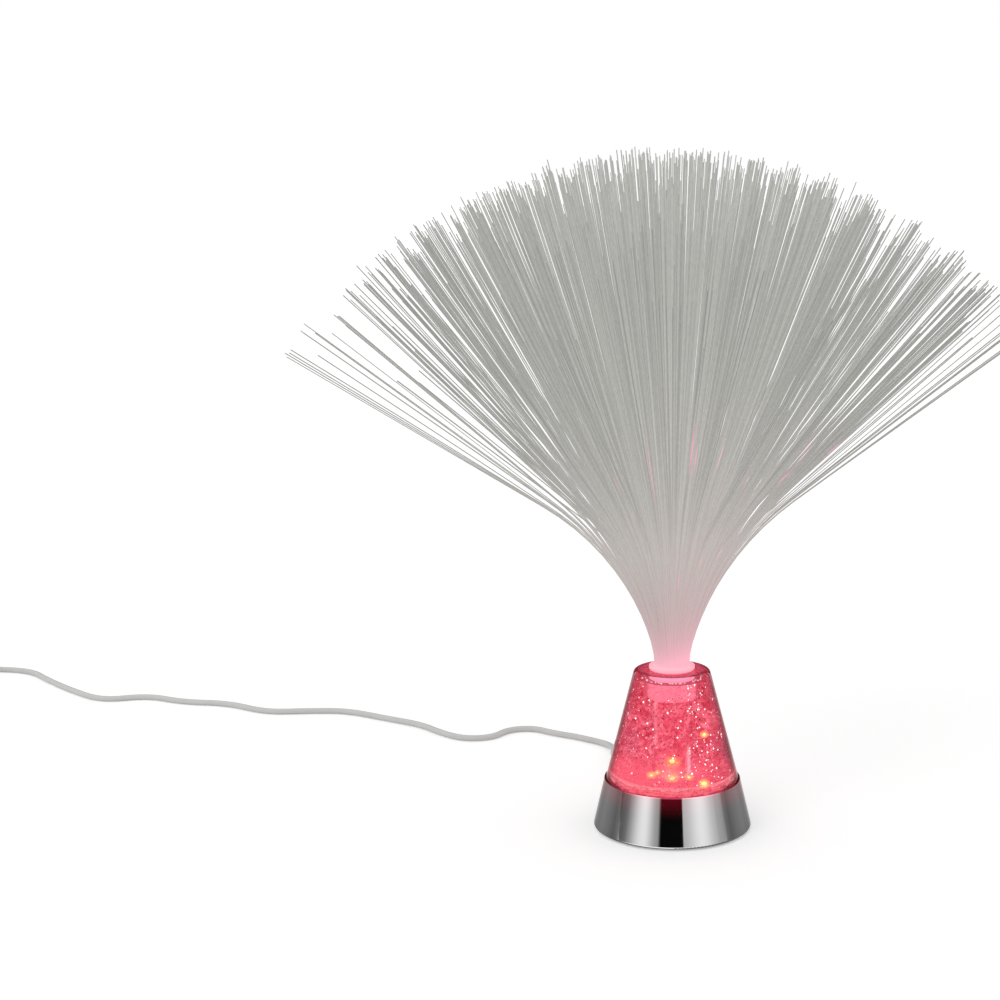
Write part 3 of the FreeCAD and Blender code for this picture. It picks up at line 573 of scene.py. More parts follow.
@dataclass(frozen=True)
class GlitterFluid:
    """The LED-lit fluid full of glitter. Its near side is a veil, and its far side hides what is behind."""

    name: str = "lit glitter fluid"
    deep: Colour = tint(188, 38, 60)
    body: Colour = tint(232, 76, 100)
    bright: Colour = tint(255, 134, 152)
    dark: Colour = tint(104, 12, 30)
    # colour of the glints: painted sparkle of the glitter
    white: Colour = tint(255, 236, 238)
    low_light: Colour = tint(255, 106, 128)
    # painted shade: the darker red where the fluid turns from the eye
    edge_shade: Colour = tint(140, 36, 62)
    murk: Colour = tint(150, 74, 98)
    # painted shade: how bright the fluid's far side stays, seen from inside
    far_shade_share: float = 0.78
    strength: float = 0.88
    thin: float = 0.26
    dense: float = 0.78
    floor: float = 29.5 * MM
    # ranges of Z, X and Y over which the even light above the floor fades
    low_top: Range = (35.0 * MM, 41.0 * MM)
    low_right: Range = (12.0 * MM, 25.0 * MM)
    low_back: Range = (14.0 * MM, 26.0 * MM)
    clear_top: Range = (33.5 * MM, 45.5 * MM)      # the veil is thinner below these heights
    cup_bottom: Range = (65.6 * MM, 69.6 * MM)     # and above these, in front of the cup
    bore: Range = (13.0 * MM, 14.0 * MM)   # faces nearer to the axis are those round column and cup
    stray: float = 3.5 * MM        # how far the edge of a murky swirl strays
    # middle, radius and strength of each murky swirl, in millimetres
    swirls: tuple[tuple[float, float, float, float, float], ...] = (
        (-20.0, -14.5, 49.0, 8.5, 0.35), (19.0, -6.0, 70.0, 7.0, 0.35), (22.5, -11.0, 47.0, 8.5, 0.4),
        (27.5, -4.0, 40.0, 11.0, 0.8), (-9.0, -20.0, 60.0, 6.0, 0.2))

    def stirred(self, wiring: Wiring, where: Socket, swirl: bpy.types.NodeOutputs) -> Socket:
        """The fluid's colour from folds and mottling, greyer in the murky swirls.

        Args:
            wiring: the material's wiring.
            where: the place.
            swirl: what the group of stirred glitter gives there.

        Returns:
            The socket of the colour.
        """
        tone = wiring.plus(wiring.times(swirl["folds"], 0.5), wiring.times(swirl["mottle"], 0.5))
        colour = wiring.ramp(tone, [(0.36, self.deep), (0.49, self.body), (0.62, self.bright)])
        ragged = wiring.spread(swirl["mottle"], -self.stray, self.stray)
        murky = 0.0
        for x, y, z, radius, amount in self.swirls:
            away = wiring.vector("DISTANCE", where, (x * MM, y * MM, z * MM))["Value"]
            share = wiring.ease(wiring.plus(away, ragged), radius * 0.5 * MM, radius * MM, amount, 0.0)
            murky = wiring.math("MAXIMUM", share, murky)
        return wiring.mix(murky, colour, self.murk)

    def make(self) -> Material:
        """Build the material.

        Low is the share of the even light just above the floor, weaker at the edge, to the right and
        behind. Back is 1 on faces seen from inside the fluid, except those round column and cup, and
        these get a painted shade. Where the fluid turns from the eye it gets a painted darker red shade,
        and the glints are painted sparkle. The facing is 0 on the fluid's own bottom, which would else
        count as an edge.

        Returns:
            The new material.
        """
        material, wiring, shader = new_material(self.name)
        where = wiring.place()
        axes = wiring.axes(where)
        swirl = wiring.group(EFFECTS.swirl, where)
        above = wiring.ease(axes["Z"], self.floor + 0.1 * MM, self.floor + 0.5 * MM)
        facing = wiring.times(wiring.facing(), above)
        low = wiring.times(wiring.ease(axes["Z"], *self.low_top, 0.75, 0.0),
                           wiring.fade(facing, 0.25, 0.6, 0.25),
                           wiring.fade(axes["X"], *self.low_right, 0.35),
                           wiring.fade(axes["Y"], *self.low_back, 0.15))
        higher = wiring.rest(low)
        back = wiring.times(wiring.add("NewGeometry").outputs["Backfacing"],
                            wiring.ease(wiring.reach(where), *self.bore))
        colour = wiring.mix(low, self.stirred(wiring, where, swirl), self.low_light)
        mottled = wiring.shade(colour, wiring.spread(swirl["mottle"], 0.8, 1.15))
        colour = wiring.mix(low, colour, mottled)
        colour = wiring.mix(wiring.times(swirl["specks"], higher), colour, self.dark)
        # painted sparkle: glints of near white
        colour = wiring.mix(swirl["glints"], colour, self.white)
        # painted shade: darker red where the fluid turns from the eye, not low down
        edge = wiring.times(wiring.ease(facing, 0.3, 0.8, 0.0, 0.65), higher)
        colour = wiring.mix(edge, colour, self.edge_shade)
        # painted shade on the fluid's far side
        dimmed = wiring.shade(colour, grey(self.far_shade_share))
        colour = wiring.mix(wiring.times(back, higher), colour, dimmed)
        cover = wiring.times(wiring.ease(swirl["folds"], 0.36, 0.6, self.thin, self.dense),
                             wiring.ease(axes["Z"], *self.clear_top, 0.5, 1.0),
                             wiring.fade(axes["Z"], *self.cup_bottom, 0.45))
        cover = wiring.plus(cover, wiring.ease(facing, 0.4, 0.8, 0.0, 0.6), clamp=True)
        wiring.feed(shader, {
            "Base Color": wiring.mix(0.75, colour, (0.06, 0.005, 0.01)), "Emission Color": colour,
            "Emission Strength": self.strength, "Roughness": 0.5, "Specular IOR Level": 0.0,
            "Alpha": wiring.math("MAXIMUM", cover, back)})
        return material


@dataclass(frozen=True)
class MilkyColumn:
    """Milky plastic lit from inside, with painted bright bands where it turns from the eye."""

    name: str = "lit milky column"
    middle: Colour = tint(204, 74, 96)
    # painted light: colour of the bright bands at the sides
    side: Colour = (1.7, 0.85, 1.0)
    upper: Range = (41.0 * MM, 47.0 * MM)      # heights between which the bright side changes
    right: Range = (-1.0 * MM, 1.0 * MM)

    def make(self) -> Material:
        """Build the material: painted light makes the left side bright in its upper part, the right side
        lower down.

        Returns:
            The new material.
        """
        material, wiring, shader = new_material(self.name)
        where = wiring.place()
        axes = wiring.axes(where)
        either = wiring.math("ABSOLUTE", wiring.math("SUBTRACT", wiring.ease(axes["Z"], *self.upper),
                                                     wiring.ease(axes["X"], *self.right)))
        lit = wiring.times(wiring.ease(wiring.facing(), 0.22, 0.5), either)
        mottle = wiring.spread(wiring.noise(where, 420.0, 4.0, 0.65, 0.4), 0.8, 1.15)
        colour = wiring.shade(wiring.mix(lit, self.middle, self.side), mottle)
        wiring.feed(shader, {
            "Base Color": wiring.mix(0.6, colour, (0.1, 0.02, 0.03)), "Emission Color": colour,
            "Emission Strength": 0.85, "Roughness": 0.4})
        return material


@dataclass(frozen=True)
class LitFloor:
    """The vessel's thick clear floor, lit from below: bands of light by height, broken by slow noise, and
    painted shade low at both sides.
    """

    name: str = "lit vessel floor"
    heights: Range = (23.3 * MM, 29.7 * MM)
    stray: float = 0.7 * MM        # how far the bands stray up and down
    aside: Range = (23.0 * MM, 27.0 * MM)      # painted shade: it gets dark low down at both sides beyond these distances
    dark: Colour = tint(112, 16, 36)
    speck: Colour = tint(130, 18, 38)
    deep: Colour = tint(196, 40, 62)
    dim: Colour = tint(225, 70, 92)
    lit: Colour = tint(250, 110, 128)
    bright: Colour = tint(255, 140, 152)
    # three bands of light over a dimmer red, by share of the height
    bands: tuple[tuple[float, Colour], ...] = (
        (0.0, deep), (0.2, dim), (0.32, lit), (0.42, dim), (0.66, lit), (0.78, dim), (0.9, bright),
        (1.0, lit))

    def make(self) -> Material:
        """Build the material.

        Returns:
            The new material.
        """
        material, wiring, shader = new_material(self.name)
        where = wiring.place()
        axes = wiring.axes(where)
        swirl = wiring.group(EFFECTS.swirl, where)
        slow = wiring.noise(wiring.place((1.0, 1.0, 4.0)), 130.0, 3.0, 0.6, 0.8)
        wave = wiring.plus(axes["Z"], wiring.spread(slow, -self.stray, self.stray))
        share = wiring.ease(wave, *self.heights)
        # painted shade low down at both sides
        side_shade = wiring.times(wiring.ease(wiring.math("ABSOLUTE", axes["X"]), *self.aside, 0.0, 0.85),
                             wiring.fade(share, 0.35, 0.6))
        colour = wiring.mix(side_shade, wiring.ramp(share, self.bands), self.dark)
        colour = wiring.shade(colour, wiring.spread(swirl["mottle"], 0.78, 1.2))
        colour = wiring.mix(wiring.times(swirl["specks"], 0.4), colour, self.speck)
        wiring.feed(shader, {
            "Base Color": wiring.mix(0.75, colour, (0.06, 0.005, 0.01)), "Emission Color": colour,
            "Emission Strength": 0.84, "Roughness": 0.15,
            "Alpha": wiring.ease(slow, 0.35, 0.65, 0.72, 0.95)})
        return material


@dataclass(frozen=True)
class SoftGlow:
    """The glow round a light: full where it faces the eye, fading to nothing at its edge."""

    name: str
    colour: Colour
    strength: float
    cover: float = 0.7

    def make(self) -> Material:
        """Build the material.

        Returns:
            The new material.
        """
        material, wiring, shader = new_material(self.name)
        ragged = wiring.spread(wiring.noise(wiring.place(), 700.0, 3.0, 0.6), 0.75, 1.0)
        fade = wiring.math("POWER", wiring.math("SUBTRACT", 1.0, wiring.facing(), clamp=True), 4.0)
        wiring.feed(shader, {
            "Alpha": wiring.times(fade, ragged, self.cover), "Base Color": self.colour,
            "Emission Color": self.colour, "Emission Strength": self.strength, "Roughness": 0.9,
            "Specular IOR Level": 0.0})
        return material


@dataclass(frozen=True)
class GlitterFlake:
    """Thin flakes with a painted glow: dark red, pink or a nearly white painted sparkle, by the brightness
    the mesh carries.
    """

    name: str = "glitter flakes"
    tones: tuple[tuple[float, Colour], ...] = (
        (0.0, tint(84, 8, 24)), (0.35, tint(176, 44, 66)), (0.6, tint(236, 116, 134)),
        (0.85, tint(255, 216, 218)), (1.0, tint(255, 250, 248)))

    def make(self) -> Material:
        """Build the material.

        Returns:
            The new material.
        """
        material, wiring, shader = new_material(self.name)
        colour = wiring.ramp(wiring.attribute("spark"), self.tones)
        wiring.feed(shader, {"Base Color": colour, "Emission Color": colour, "Emission Strength": 0.9,
                             "Roughness": 0.3})
        return material


@dataclass(frozen=True)
class GuideFibre:
    """Light-guiding plastic: pale grey, much of it painted even light, pink near the root and where a fibre
    leaks.
    """

    name: str = "light guide plastic"
    pale: Colour = tint(174, 175, 170)
    root: Colour = (0.6, 0.11, 0.22)
    leak: Colour = (0.62, 0.02, 0.2)
    base_share: float = 0.5
    # painted even light: this share of the grey is given as light, so the dense fibres show no shade
    painted_fill_light: float = 0.69
    # reach in millimetres and strength of the two parts of the root's light
    root_light: tuple[Range, Range] = ((12.0, 0.75), (45.0, 0.35))
    root_sides: Range = (-12.0 * MM, 12.0 * MM)    # that light is weaker left of this X than right of it
    even_to: float = 140.0         # single fibres differ in shade from this many millimetres on
    lift: float = 1.28             # the lower fibres' brightness over that of the tips
    lift_from: float = 50.0
    lift_to: float = 290.0
    neck: float = 75.0             # below this distance the fibres' own grey gets darker, down to a share
    neck_share: float = 0.69

    def make(self) -> Material:
        """Build the material.

        The root's light is the sum of two exponentials that fall with the distance from the collar. A
        leak's light is a bell curve about its place along the fibre.

        Returns:
            The new material.
        """
        material, wiring, shader = new_material(self.name)
        along = wiring.attribute("along")
        fine = wiring.noise(wiring.place((1.0, 1.0, 0.35)), 900.0, 2.0)
        single = wiring.times(wiring.attribute("tone"), wiring.spread(fine, 0.94, 1.06))
        own = wiring.mix(wiring.ease(along, 0.0, self.even_to, 0.1, 1.0), self.pale,
                         wiring.shade(self.pale, single))
        own = wiring.shade(own, wiring.times(wiring.ease(along, self.lift_from, self.lift_to, self.lift, 1.0),
                                             wiring.ease(along, 0.0, self.neck, self.neck_share, 1.0)))
        near, far = (wiring.times(wiring.math("POWER", math.e, wiring.math("DIVIDE", along, -reach)), share)
                     for reach, share in self.root_light)
        side = wiring.ease(wiring.axes(wiring.place())["X"], *self.root_sides, 0.8, 1.2)
        light = wiring.math("MULTIPLY", wiring.plus(near, far), side, clamp=True)
        off = wiring.math("DIVIDE", wiring.math("SUBTRACT", along, wiring.attribute("leak_at")),
                          wiring.attribute("leak_reach"))
        bell = wiring.times(wiring.math("POWER", math.e, wiring.times(off, off, -1.0)),
                            wiring.attribute("leak_light"))
        glow = wiring.mix(1.0, wiring.shade(self.root, light), wiring.shade(self.leak, bell), "ADD")
        wiring.feed(shader, {
            "Base Color": wiring.shade(own, grey(self.base_share)),
            "Emission Color": wiring.mix(1.0, wiring.shade(own, grey(self.painted_fill_light)), glow, "ADD"),
            "Emission Strength": 1.0, "Roughness": 0.5, "Specular IOR Level": 0.3})
        return material


@dataclass(frozen=True)
class CordSheath:
    """Soft vinyl sheath with a fine grain, a slow shade and dust."""

    name: str = "pale cord sheath"
    colour: Colour = tint(206, 206, 204)
    dusty: Colour = tint(150, 148, 144)

    def make(self) -> Material:
        """Build the material.

        Returns:
            The new material.
        """
        material, wiring, shader = new_material(self.name)
        where = wiring.place()
        grain = wiring.group(EFFECTS.grain, where, size=1600.0, amount=0.1)
        dust = wiring.group(EFFECTS.dust, where, amount=0.25)["mask"]
        wiring.feed(shader, {
            "Base Color": wiring.mix(dust, wiring.shade(self.colour, grain["shade"]), self.dusty),
            "Roughness": wiring.times(grain["shade"], 0.42),
            "Normal": wiring.bump(grain["height"], 0.01 * MM)})
        return material


@dataclass(frozen=True)
class CircuitBoard:
    """Green board: solder mask over straight copper tracks, with tinned pads."""

    name: str = "green circuit board"
    board: Colour = tint(18, 92, 50)
    track: Colour = tint(40, 128, 74)
    pad: Colour = tint(190, 190, 182)

    def make(self) -> Material:
        """Build the material: tracks are the rims of large cells, pads the middles of small ones.

        Returns:
            The new material.
        """
        material, wiring, shader = new_material(self.name)
        where = wiring.place()
        rims = wiring.cells(where, 260.0, "DISTANCE_TO_EDGE", 0.7)["Distance"]
        tracks = wiring.fade(rims, 0.04, 0.08)
        pads = wiring.fade(wiring.cells(where, 420.0, randomness=0.2)["Distance"], 0.12, 0.18)
        wiring.feed(shader, {
            "Base Color": wiring.mix(pads, wiring.mix(tracks, self.board, self.track), self.pad),
            "Metallic": pads, "Roughness": wiring.ease(pads, 0.0, 1.0, 0.35, 0.25),
            "Normal": wiring.bump(wiring.math("MAXIMUM", tracks, pads), 0.03 * MM)})
        return material


@dataclass(frozen=True)
class LitLens:
    """A small lit body, such as an LED, with the frosted grain of cast epoxy."""

    name: str
    colour: Colour
    glow: Colour
    strength: float

    def make(self) -> Material:
        """Build the material.

        Returns:
            The new material.
        """
        material, wiring, shader = new_material(self.name)
        shade = wiring.group(EFFECTS.grain, wiring.place(), size=1800.0, amount=0.35)["shade"]
        wiring.feed(shader, {
            "Base Color": wiring.shade(self.colour, shade), "Emission Color": wiring.shade(self.glow, shade),
            "Emission Strength": self.strength, "Roughness": wiring.times(shade, 0.2)})
        return material


def signed_volume(points: np.ndarray, faces: np.ndarray) -> float:
    """Volume under flat faces: a sixth of the sum of each triangle's triple product.

    Args:
        points: vertex places, one row each.
        faces: vertex numbers, one row a face of three or four corners.

    Returns:
        The volume, below zero where the faces point inwards.
    """
    total = 0.0
    for last in range(2, faces.shape[1]):
        a, b, c = points[faces[:, 0]], points[faces[:, last - 1]], points[faces[:, last]]
        total += float(np.einsum("ij,ij->", a, np.cross(b, c))) / 6.0
    return total


def make_piece(name: str, points: np.ndarray, faces: list[np.ndarray], materials: list[Material],
               body: Body, sharp_from: float | None = 40.0, slot_of_face: np.ndarray | None = None,
               carried: dict[str, np.ndarray] | None = None) -> bpy.types.Object:
    """Put arrays into a mesh object and let it ride on a body.

    Args:
        name: the piece's name.
        points: vertex places in metres, one row each.
        faces: arrays of faces, each with rows of three or of four corners.
        materials: the piece's materials, in slot order.
        body: the body that it moves with.
        sharp_from: degrees between faces from which an edge stays sharp, or None for no sharp edge.
        slot_of_face: material slot of each face.
        carried: values that the vertices carry, by name.

    Returns:
        The new object.
    """
    if sum(signed_volume(points, part) for part in faces) < 0.0:
        faces = [part[:, ::-1] for part in faces]
    mesh = bpy.data.meshes.new(name)
    mesh.from_pydata(points.tolist(), [], [face for part in faces for face in part.tolist()])
    mesh.polygons.foreach_set("use_smooth", np.ones(len(mesh.polygons), bool))
    if slot_of_face is not None:
        mesh.polygons.foreach_set("material_index", slot_of_face.astype(np.int32))
    for label, values in (carried or {}).items():
        mesh.attributes.new(label, "FLOAT", "POINT").data.foreach_set("value", values.astype(np.float32))
    if sharp_from is not None:
        mesh.set_sharp_from_angle(angle=math.radians(sharp_from))
    mesh.update()
    for material in materials:
        mesh.materials.append(material)
    piece = bpy.data.objects.new(name, mesh)
    bpy.context.scene.collection.objects.link(piece)
    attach(piece, body.value)
    log.info("%s: %d vertices, %d faces, on %s", name, len(mesh.vertices), len(mesh.polygons), body.value)
    return piece


def grid_faces(rows: int, columns: int, close_rows: bool, close_columns: bool) -> np.ndarray:
    """Faces of a grid of vertices numbered row by row.

    Args:
        rows, columns: the grid's size.
        close_rows: whether the last row joins the first.
        close_columns: whether the last column joins the first.

    Returns:
        Vertex numbers, four a face: (i, j), (i, j+1), (i+1, j+1), (i+1, j).
    """
    i = np.arange(rows if close_rows else rows - 1)[:, None]
    j = np.arange(columns if close_columns else columns - 1)[None, :]
    below, beside = (i + 1) % rows, (j + 1) % columns
    corners = [i * columns + j, i * columns + beside, below * columns + beside, below * columns + j]
    return np.stack(np.broadcast_arrays(*corners), axis=-1).reshape(-1, 4)


def turned(outline: np.ndarray, around: int) -> np.ndarray:
    """Carry an outline of (radius, height) round the Z axis: x = r cos a, y = r sin a, z = height.

    Args:
        outline: the points, one row each.
        around: how many steps a full turn has.

    Returns:
        Points on a grid of outline by steps, one row each.
    """
    angle = np.linspace(0.0, 2.0 * math.pi, around, endpoint=False)
    radius, height = outline[:, :1], outline[:, 1:]
    grid = np.stack([radius * np.cos(angle), radius * np.sin(angle),
                     np.broadcast_to(height, (len(outline), around))], axis=-1)
    return grid.reshape(-1, 3)


def rounded(before: tuple, corner: tuple, after: tuple, radius: float, steps: int = 8) -> np.ndarray:
    """Round a corner of an outline.

    The arc touches both runs. Its middle lies on the line that halves the corner, at the radius over
    the sine of half the angle between the runs.

    Args:
        before, corner, after: three points of the outline.
        radius: the arc's radius.
        steps: how many points the arc has.

    Returns:
        The arc's points from the first run to the second.
    """
    tip = np.array(corner, float)
    first, second = np.array(before, float) - tip, np.array(after, float) - tip
    first, second = first / np.linalg.norm(first), second / np.linalg.norm(second)
    half = math.acos(float(np.clip(first @ second, -1.0, 1.0))) / 2.0
    halving = (first + second) / np.linalg.norm(first + second)
    middle = tip + halving * radius / math.sin(half)
    start, end = tip + first * radius / math.tan(half), tip + second * radius / math.tan(half)
    share = np.linspace(0.0, 1.0, steps)[:, None]
    sweep = math.pi - 2.0 * half
    weights = np.sin((1.0 - share) * sweep), np.sin(share * sweep)
    return middle + (weights[0] * (start - middle) + weights[1] * (end - middle)) / math.sin(sweep)


def dress(finish: Finish, *nodes: str) -> None:
    """Give the finish's material to these CAD nodes.

    Args:
        finish: the finish.
        nodes: names of CAD nodes.
    """
    material = finish.make()
    for name in nodes:
        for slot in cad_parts[name].material_slots:
            slot.material = material
    log.info("%s on %s", material.name, ", ".join(nodes))


@dataclass
class Studio:
    """Camera, pale floor, even light with upright panels for what mirrors them, and one soft lamp."""

    camera_place: tuple[float, float, float] = (0.0, -1.1, 0.385)
    yaw: float = 4.405             # degrees towards -X
    pitch: float = 11.127          # degrees down
    roll: float = -0.951
    lens: float = 81.729
    floor_reach: float = 6.0
    floor_level: float = 0.86
    floor_light: float = 0.3       # lifts the floor to white where it is seen, and leaves it a soft shadow
    ambient: float = 0.82
    overhead: Range = (0.5, 0.75)  # the panels end between these upward parts of the view direction
    overhead_level: float = 0.9
    lamp_strength: float = 0.4
    lamp_width: float = 35.0
    lamp_turn: tuple[float, float, float] = (48.0, 0.0, -35.0)
    # direction round Z, 0 towards the camera's side and rising towards +X, and brightness from 0 to 255:
    # a dark gap in the middle, a soft panel on each side of it, white walls, and grey behind
    panels: tuple[tuple[float, float], ...] = (
        (-180.0, 80.0), (-152.0, 80.0), (-122.0, 255.0), (-110.0, 255.0),
        (-74.0, 120.0), (-43.0, 230.0), (-22.0, 150.0),
        (-17.0, 8.0), (16.0, 8.0),
        (17.0, 180.0), (44.0, 230.0), (72.0, 175.0),
        (88.0, 255.0), (122.0, 255.0), (152.0, 80.0), (180.0, 80.0))

    def build(self) -> None:
        """Make everything."""
        self.aim_camera()
        self.lay_floor()
        self.light_world()
        self.hang_lamp()

    def aim_camera(self) -> None:
        """Place the camera: its axes are yaw, pitch and roll turned into right, up and back vectors."""
        psi, theta, rho = (math.radians(v) for v in (self.yaw, self.pitch, self.roll))
        level = np.array([math.cos(psi), math.sin(psi), 0.0])
        ahead = np.array([-math.sin(psi), math.cos(psi), 0.0])
        forward = math.cos(theta) * ahead - math.sin(theta) * np.array([0.0, 0.0, 1.0])
        above = np.cross(level, forward)
        right = math.cos(rho) * level + math.sin(rho) * above
        up = -math.sin(rho) * level + math.cos(rho) * above
        data = bpy.data.cameras.new("camera")
        data.lens = self.lens
        data.sensor_width = 36.0
        data.clip_start = 0.01
        data.clip_end = 50.0
        camera = bpy.data.objects.new("camera", data)
        turn = np.column_stack([right, up, -forward])
        camera.matrix_world = Matrix.Translation(self.camera_place) @ Matrix(turn.tolist()).to_4x4()
        bpy.context.scene.collection.objects.link(camera)
        bpy.context.scene.camera = camera

    def lay_floor(self) -> None:
        """A wide pale floor that looks white to the camera and keeps a soft shadow."""
        far = self.floor_reach
        points = [(-far, -far, 0.0), (far, -far, 0.0), (far, far, 0.0), (-far, far, 0.0)]
        mesh = bpy.data.meshes.new("floor")
        mesh.from_pydata(points, [], [(0, 1, 2, 3)])
        material, wiring, shader = new_material("pale floor")
        uneven = wiring.spread(wiring.noise(wiring.place(), 900.0, 3.0), 0.98, 1.0)
        seen = wiring.rays("Camera", "Transmission", "Glossy")
        wiring.feed(shader, {
            "Base Color": wiring.shade(grey(self.floor_level), uneven), "Roughness": 0.9,
            "Specular IOR Level": 0.0, "Emission Color": WHITE,
            "Emission Strength": wiring.times(seen, self.floor_light)})
        mesh.materials.append(material)
        floor = bpy.data.objects.new("floor", mesh)
        bpy.context.scene.collection.objects.link(floor)

    def light_world(self) -> None:
        """Even light for surfaces, white behind the object, and the panels for what mirrors them."""
        world = bpy.data.worlds.new("studio")
        world.use_nodes = True
        bpy.context.scene.world = world
        world.cycles.sampling_method = "NONE"
        wiring = Wiring(world.node_tree)
        background = next(n for n in world.node_tree.nodes if n.type == "BACKGROUND")
        axes = wiring.axes(wiring.add("TexCoord").outputs["Generated"])
        turn = wiring.math("ARCTAN2", axes["X"], wiring.times(axes["Y"], -1.0))
        share = wiring.plus(wiring.math("DIVIDE", turn, 2.0 * math.pi), 0.5)
        panels = wiring.ramp(share, [((place + 180.0) / 360.0, tint(level, level, level))
                                     for place, level in self.panels], "EASE")
        panels = wiring.mix(wiring.ease(axes["Z"], *self.overhead), panels, grey(self.overhead_level))
        colour = wiring.mix(wiring.rays("Glossy"), grey(self.ambient), panels)
        wiring.feed(background, {"Color": wiring.mix(wiring.rays("Camera", "Transmission"), colour, WHITE)})

    def hang_lamp(self) -> None:
        """One broad soft lamp from the upper left front, not seen in mirrors."""
        data = bpy.data.lights.new("soft lamp", "SUN")
        data.energy = self.lamp_strength
        data.angle = math.radians(self.lamp_width)
        lamp = bpy.data.objects.new("soft lamp", data)
        lamp.rotation_euler = [math.radians(v) for v in self.lamp_turn]
        lamp.visible_glossy = False
        bpy.context.scene.collection.objects.link(lamp)


@dataclass
class PowerCord:
    """The cord's line: out of the base, over the table in loose bends, and into a coil with a plug."""

    gland_angle: float = 110.0
    gland_height: float = 9.0 * MM
    inner_end: float = 19.5 * MM
    sleeve_end: float = 59.99 * MM
    seat: float = 36.59 * MM
    drop_height: float = 6.0 * MM
    radius: float = 1.7 * MM
    table_gap: float = 0.05 * MM
    route: tuple[tuple[float, float], ...] = (
        (-33.0, 94.5), (-31.5, 127.5), (-53.0, 144.0), (-68.0, 151.5), (-80.0, 161.0),
        (-94.5, 157.5), (-102.0, 142.5), (-118.5, 139.5), (-132.5, 150.5), (-146.0, 167.0),
        (-169.0, 179.5), (-193.5, 194.5), (-218.0, 193.5), (-242.0, 190.5), (-267.5, 209.0),
        (-296.5, 211.0), (-320.5, 224.5), (-347.0, 213.5), (-371.0, 235.0), (-393.0, 259.0),
        (-408.5, 279.5), (-434.5, 284.5))
    coil_centre: tuple[float, float] = (-458.0, 259.5)
    turn_radii: tuple[float, ...] = (23.8, 20.4, 17.0, 17.0, 20.4, 23.8)
    turn_points: int = 16
    pull_in: float = 0.981         # a quadratic spline's circle against its control points' circle
    first_angle: float = 90.0
    last_angle: float = 1980.0
    step_from: float = 330.0       # in each turn the cord steps to its next turn between these angles
    step_to: float = 420.0
    lifted_step: int = 3           # in this step the cord also rises onto the lower layer
    tail: tuple[tuple[float, float, float], ...] = ((-482.8, 246.5, 4.9), (-481.8, 233.5, 4.05))
    length: float = 1.28

    def way_out(self, reach: float) -> list[float]:
        """The point on the gland's axis at this distance from the lamp's axis."""
        angle = math.radians(self.gland_angle)
        return [reach * math.cos(angle), reach * math.sin(angle), self.gland_height]

    def coil(self) -> np.ndarray:
        """The coil's turns.

        The angle runs on evenly. The radius is that of the turn, and blends smoothly to the next one's
        while the angle is in the step. The height rises by one cord in one of the steps.

        Returns:
            Control points in metres, one row each.
        """
        step = 360.0 / self.turn_points
        angle = np.arange(self.first_angle, self.last_angle + 0.5 * step, step)
        radius = np.full(angle.shape, self.turn_radii[0])
        height = np.full(angle.shape, self.radius + self.table_gap)
        for turn in range(1, len(self.turn_radii)):
            begin = self.step_from + 360.0 * (turn - 1)
            share = np.clip((angle - begin) / (self.step_to - self.step_from), 0.0, 1.0)
            share = share * share * (3.0 - 2.0 * share)
            radius = radius + share * (self.turn_radii[turn] - self.turn_radii[turn - 1])
            if turn == self.lifted_step:
                height = height + share * 2.0 * self.radius
        around = np.radians(angle)
        radius = radius * MM / self.pull_in
        x = self.coil_centre[0] * MM + radius * np.cos(around)
        y = self.coil_centre[1] * MM + radius * np.sin(around)
        return np.stack([x, y, height], axis=-1)

    def centreline(self) -> np.ndarray:
        """Control points of the whole cord, from inside the base to the plug.

        Returns:
            Places in metres, one row each.
        """
        rest = self.radius + self.table_gap
        heights = [self.drop_height] + [rest] * (len(self.route) - 1)
        laid = [[x * MM, y * MM, z] for (x, y), z in zip(self.route, heights)]
        tail = (np.array(self.tail) * MM).tolist()
        return np.array([self.way_out(self.inner_end), self.way_out(self.sleeve_end), *laid,
                         *self.coil().tolist(), *tail])

    def build(self) -> None:
        """Make the cord as one smooth spline and dress the plug's parts."""
        line = self.centreline()
        data = bpy.data.curves.new("power_lead", "CURVE")
        data.dimensions = "3D"
        data.bevel_depth = self.radius
        data.bevel_resolution = 4
        data.resolution_u = 6
        data.use_fill_caps = True
        spline = data.splines.new("NURBS")
        spline.points.add(len(line) - 1)
        spline.points.foreach_set("co", np.column_stack([line, np.ones(len(line))]).ravel())
        spline.order_u = 3
        spline.use_endpoint_u = True
        data.materials.append(CordSheath().make())
        cord = bpy.data.objects.new("power_lead", data)
        bpy.context.scene.collection.objects.link(cord)
        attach(cord, Body.BASE.value)
        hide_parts("power_cord", "cord_coil", "cord_tail")
        log.info("power_lead: %d control points", len(line))
        dress(MouldedPlastic("pale moulded plug", tint(190, 190, 188), roughness=0.4),
              "plug_body", "cord_gland")
        dress(BareMetal("nickel plug shell", tint(205, 203, 198), roughness=0.22), "plug_shell")


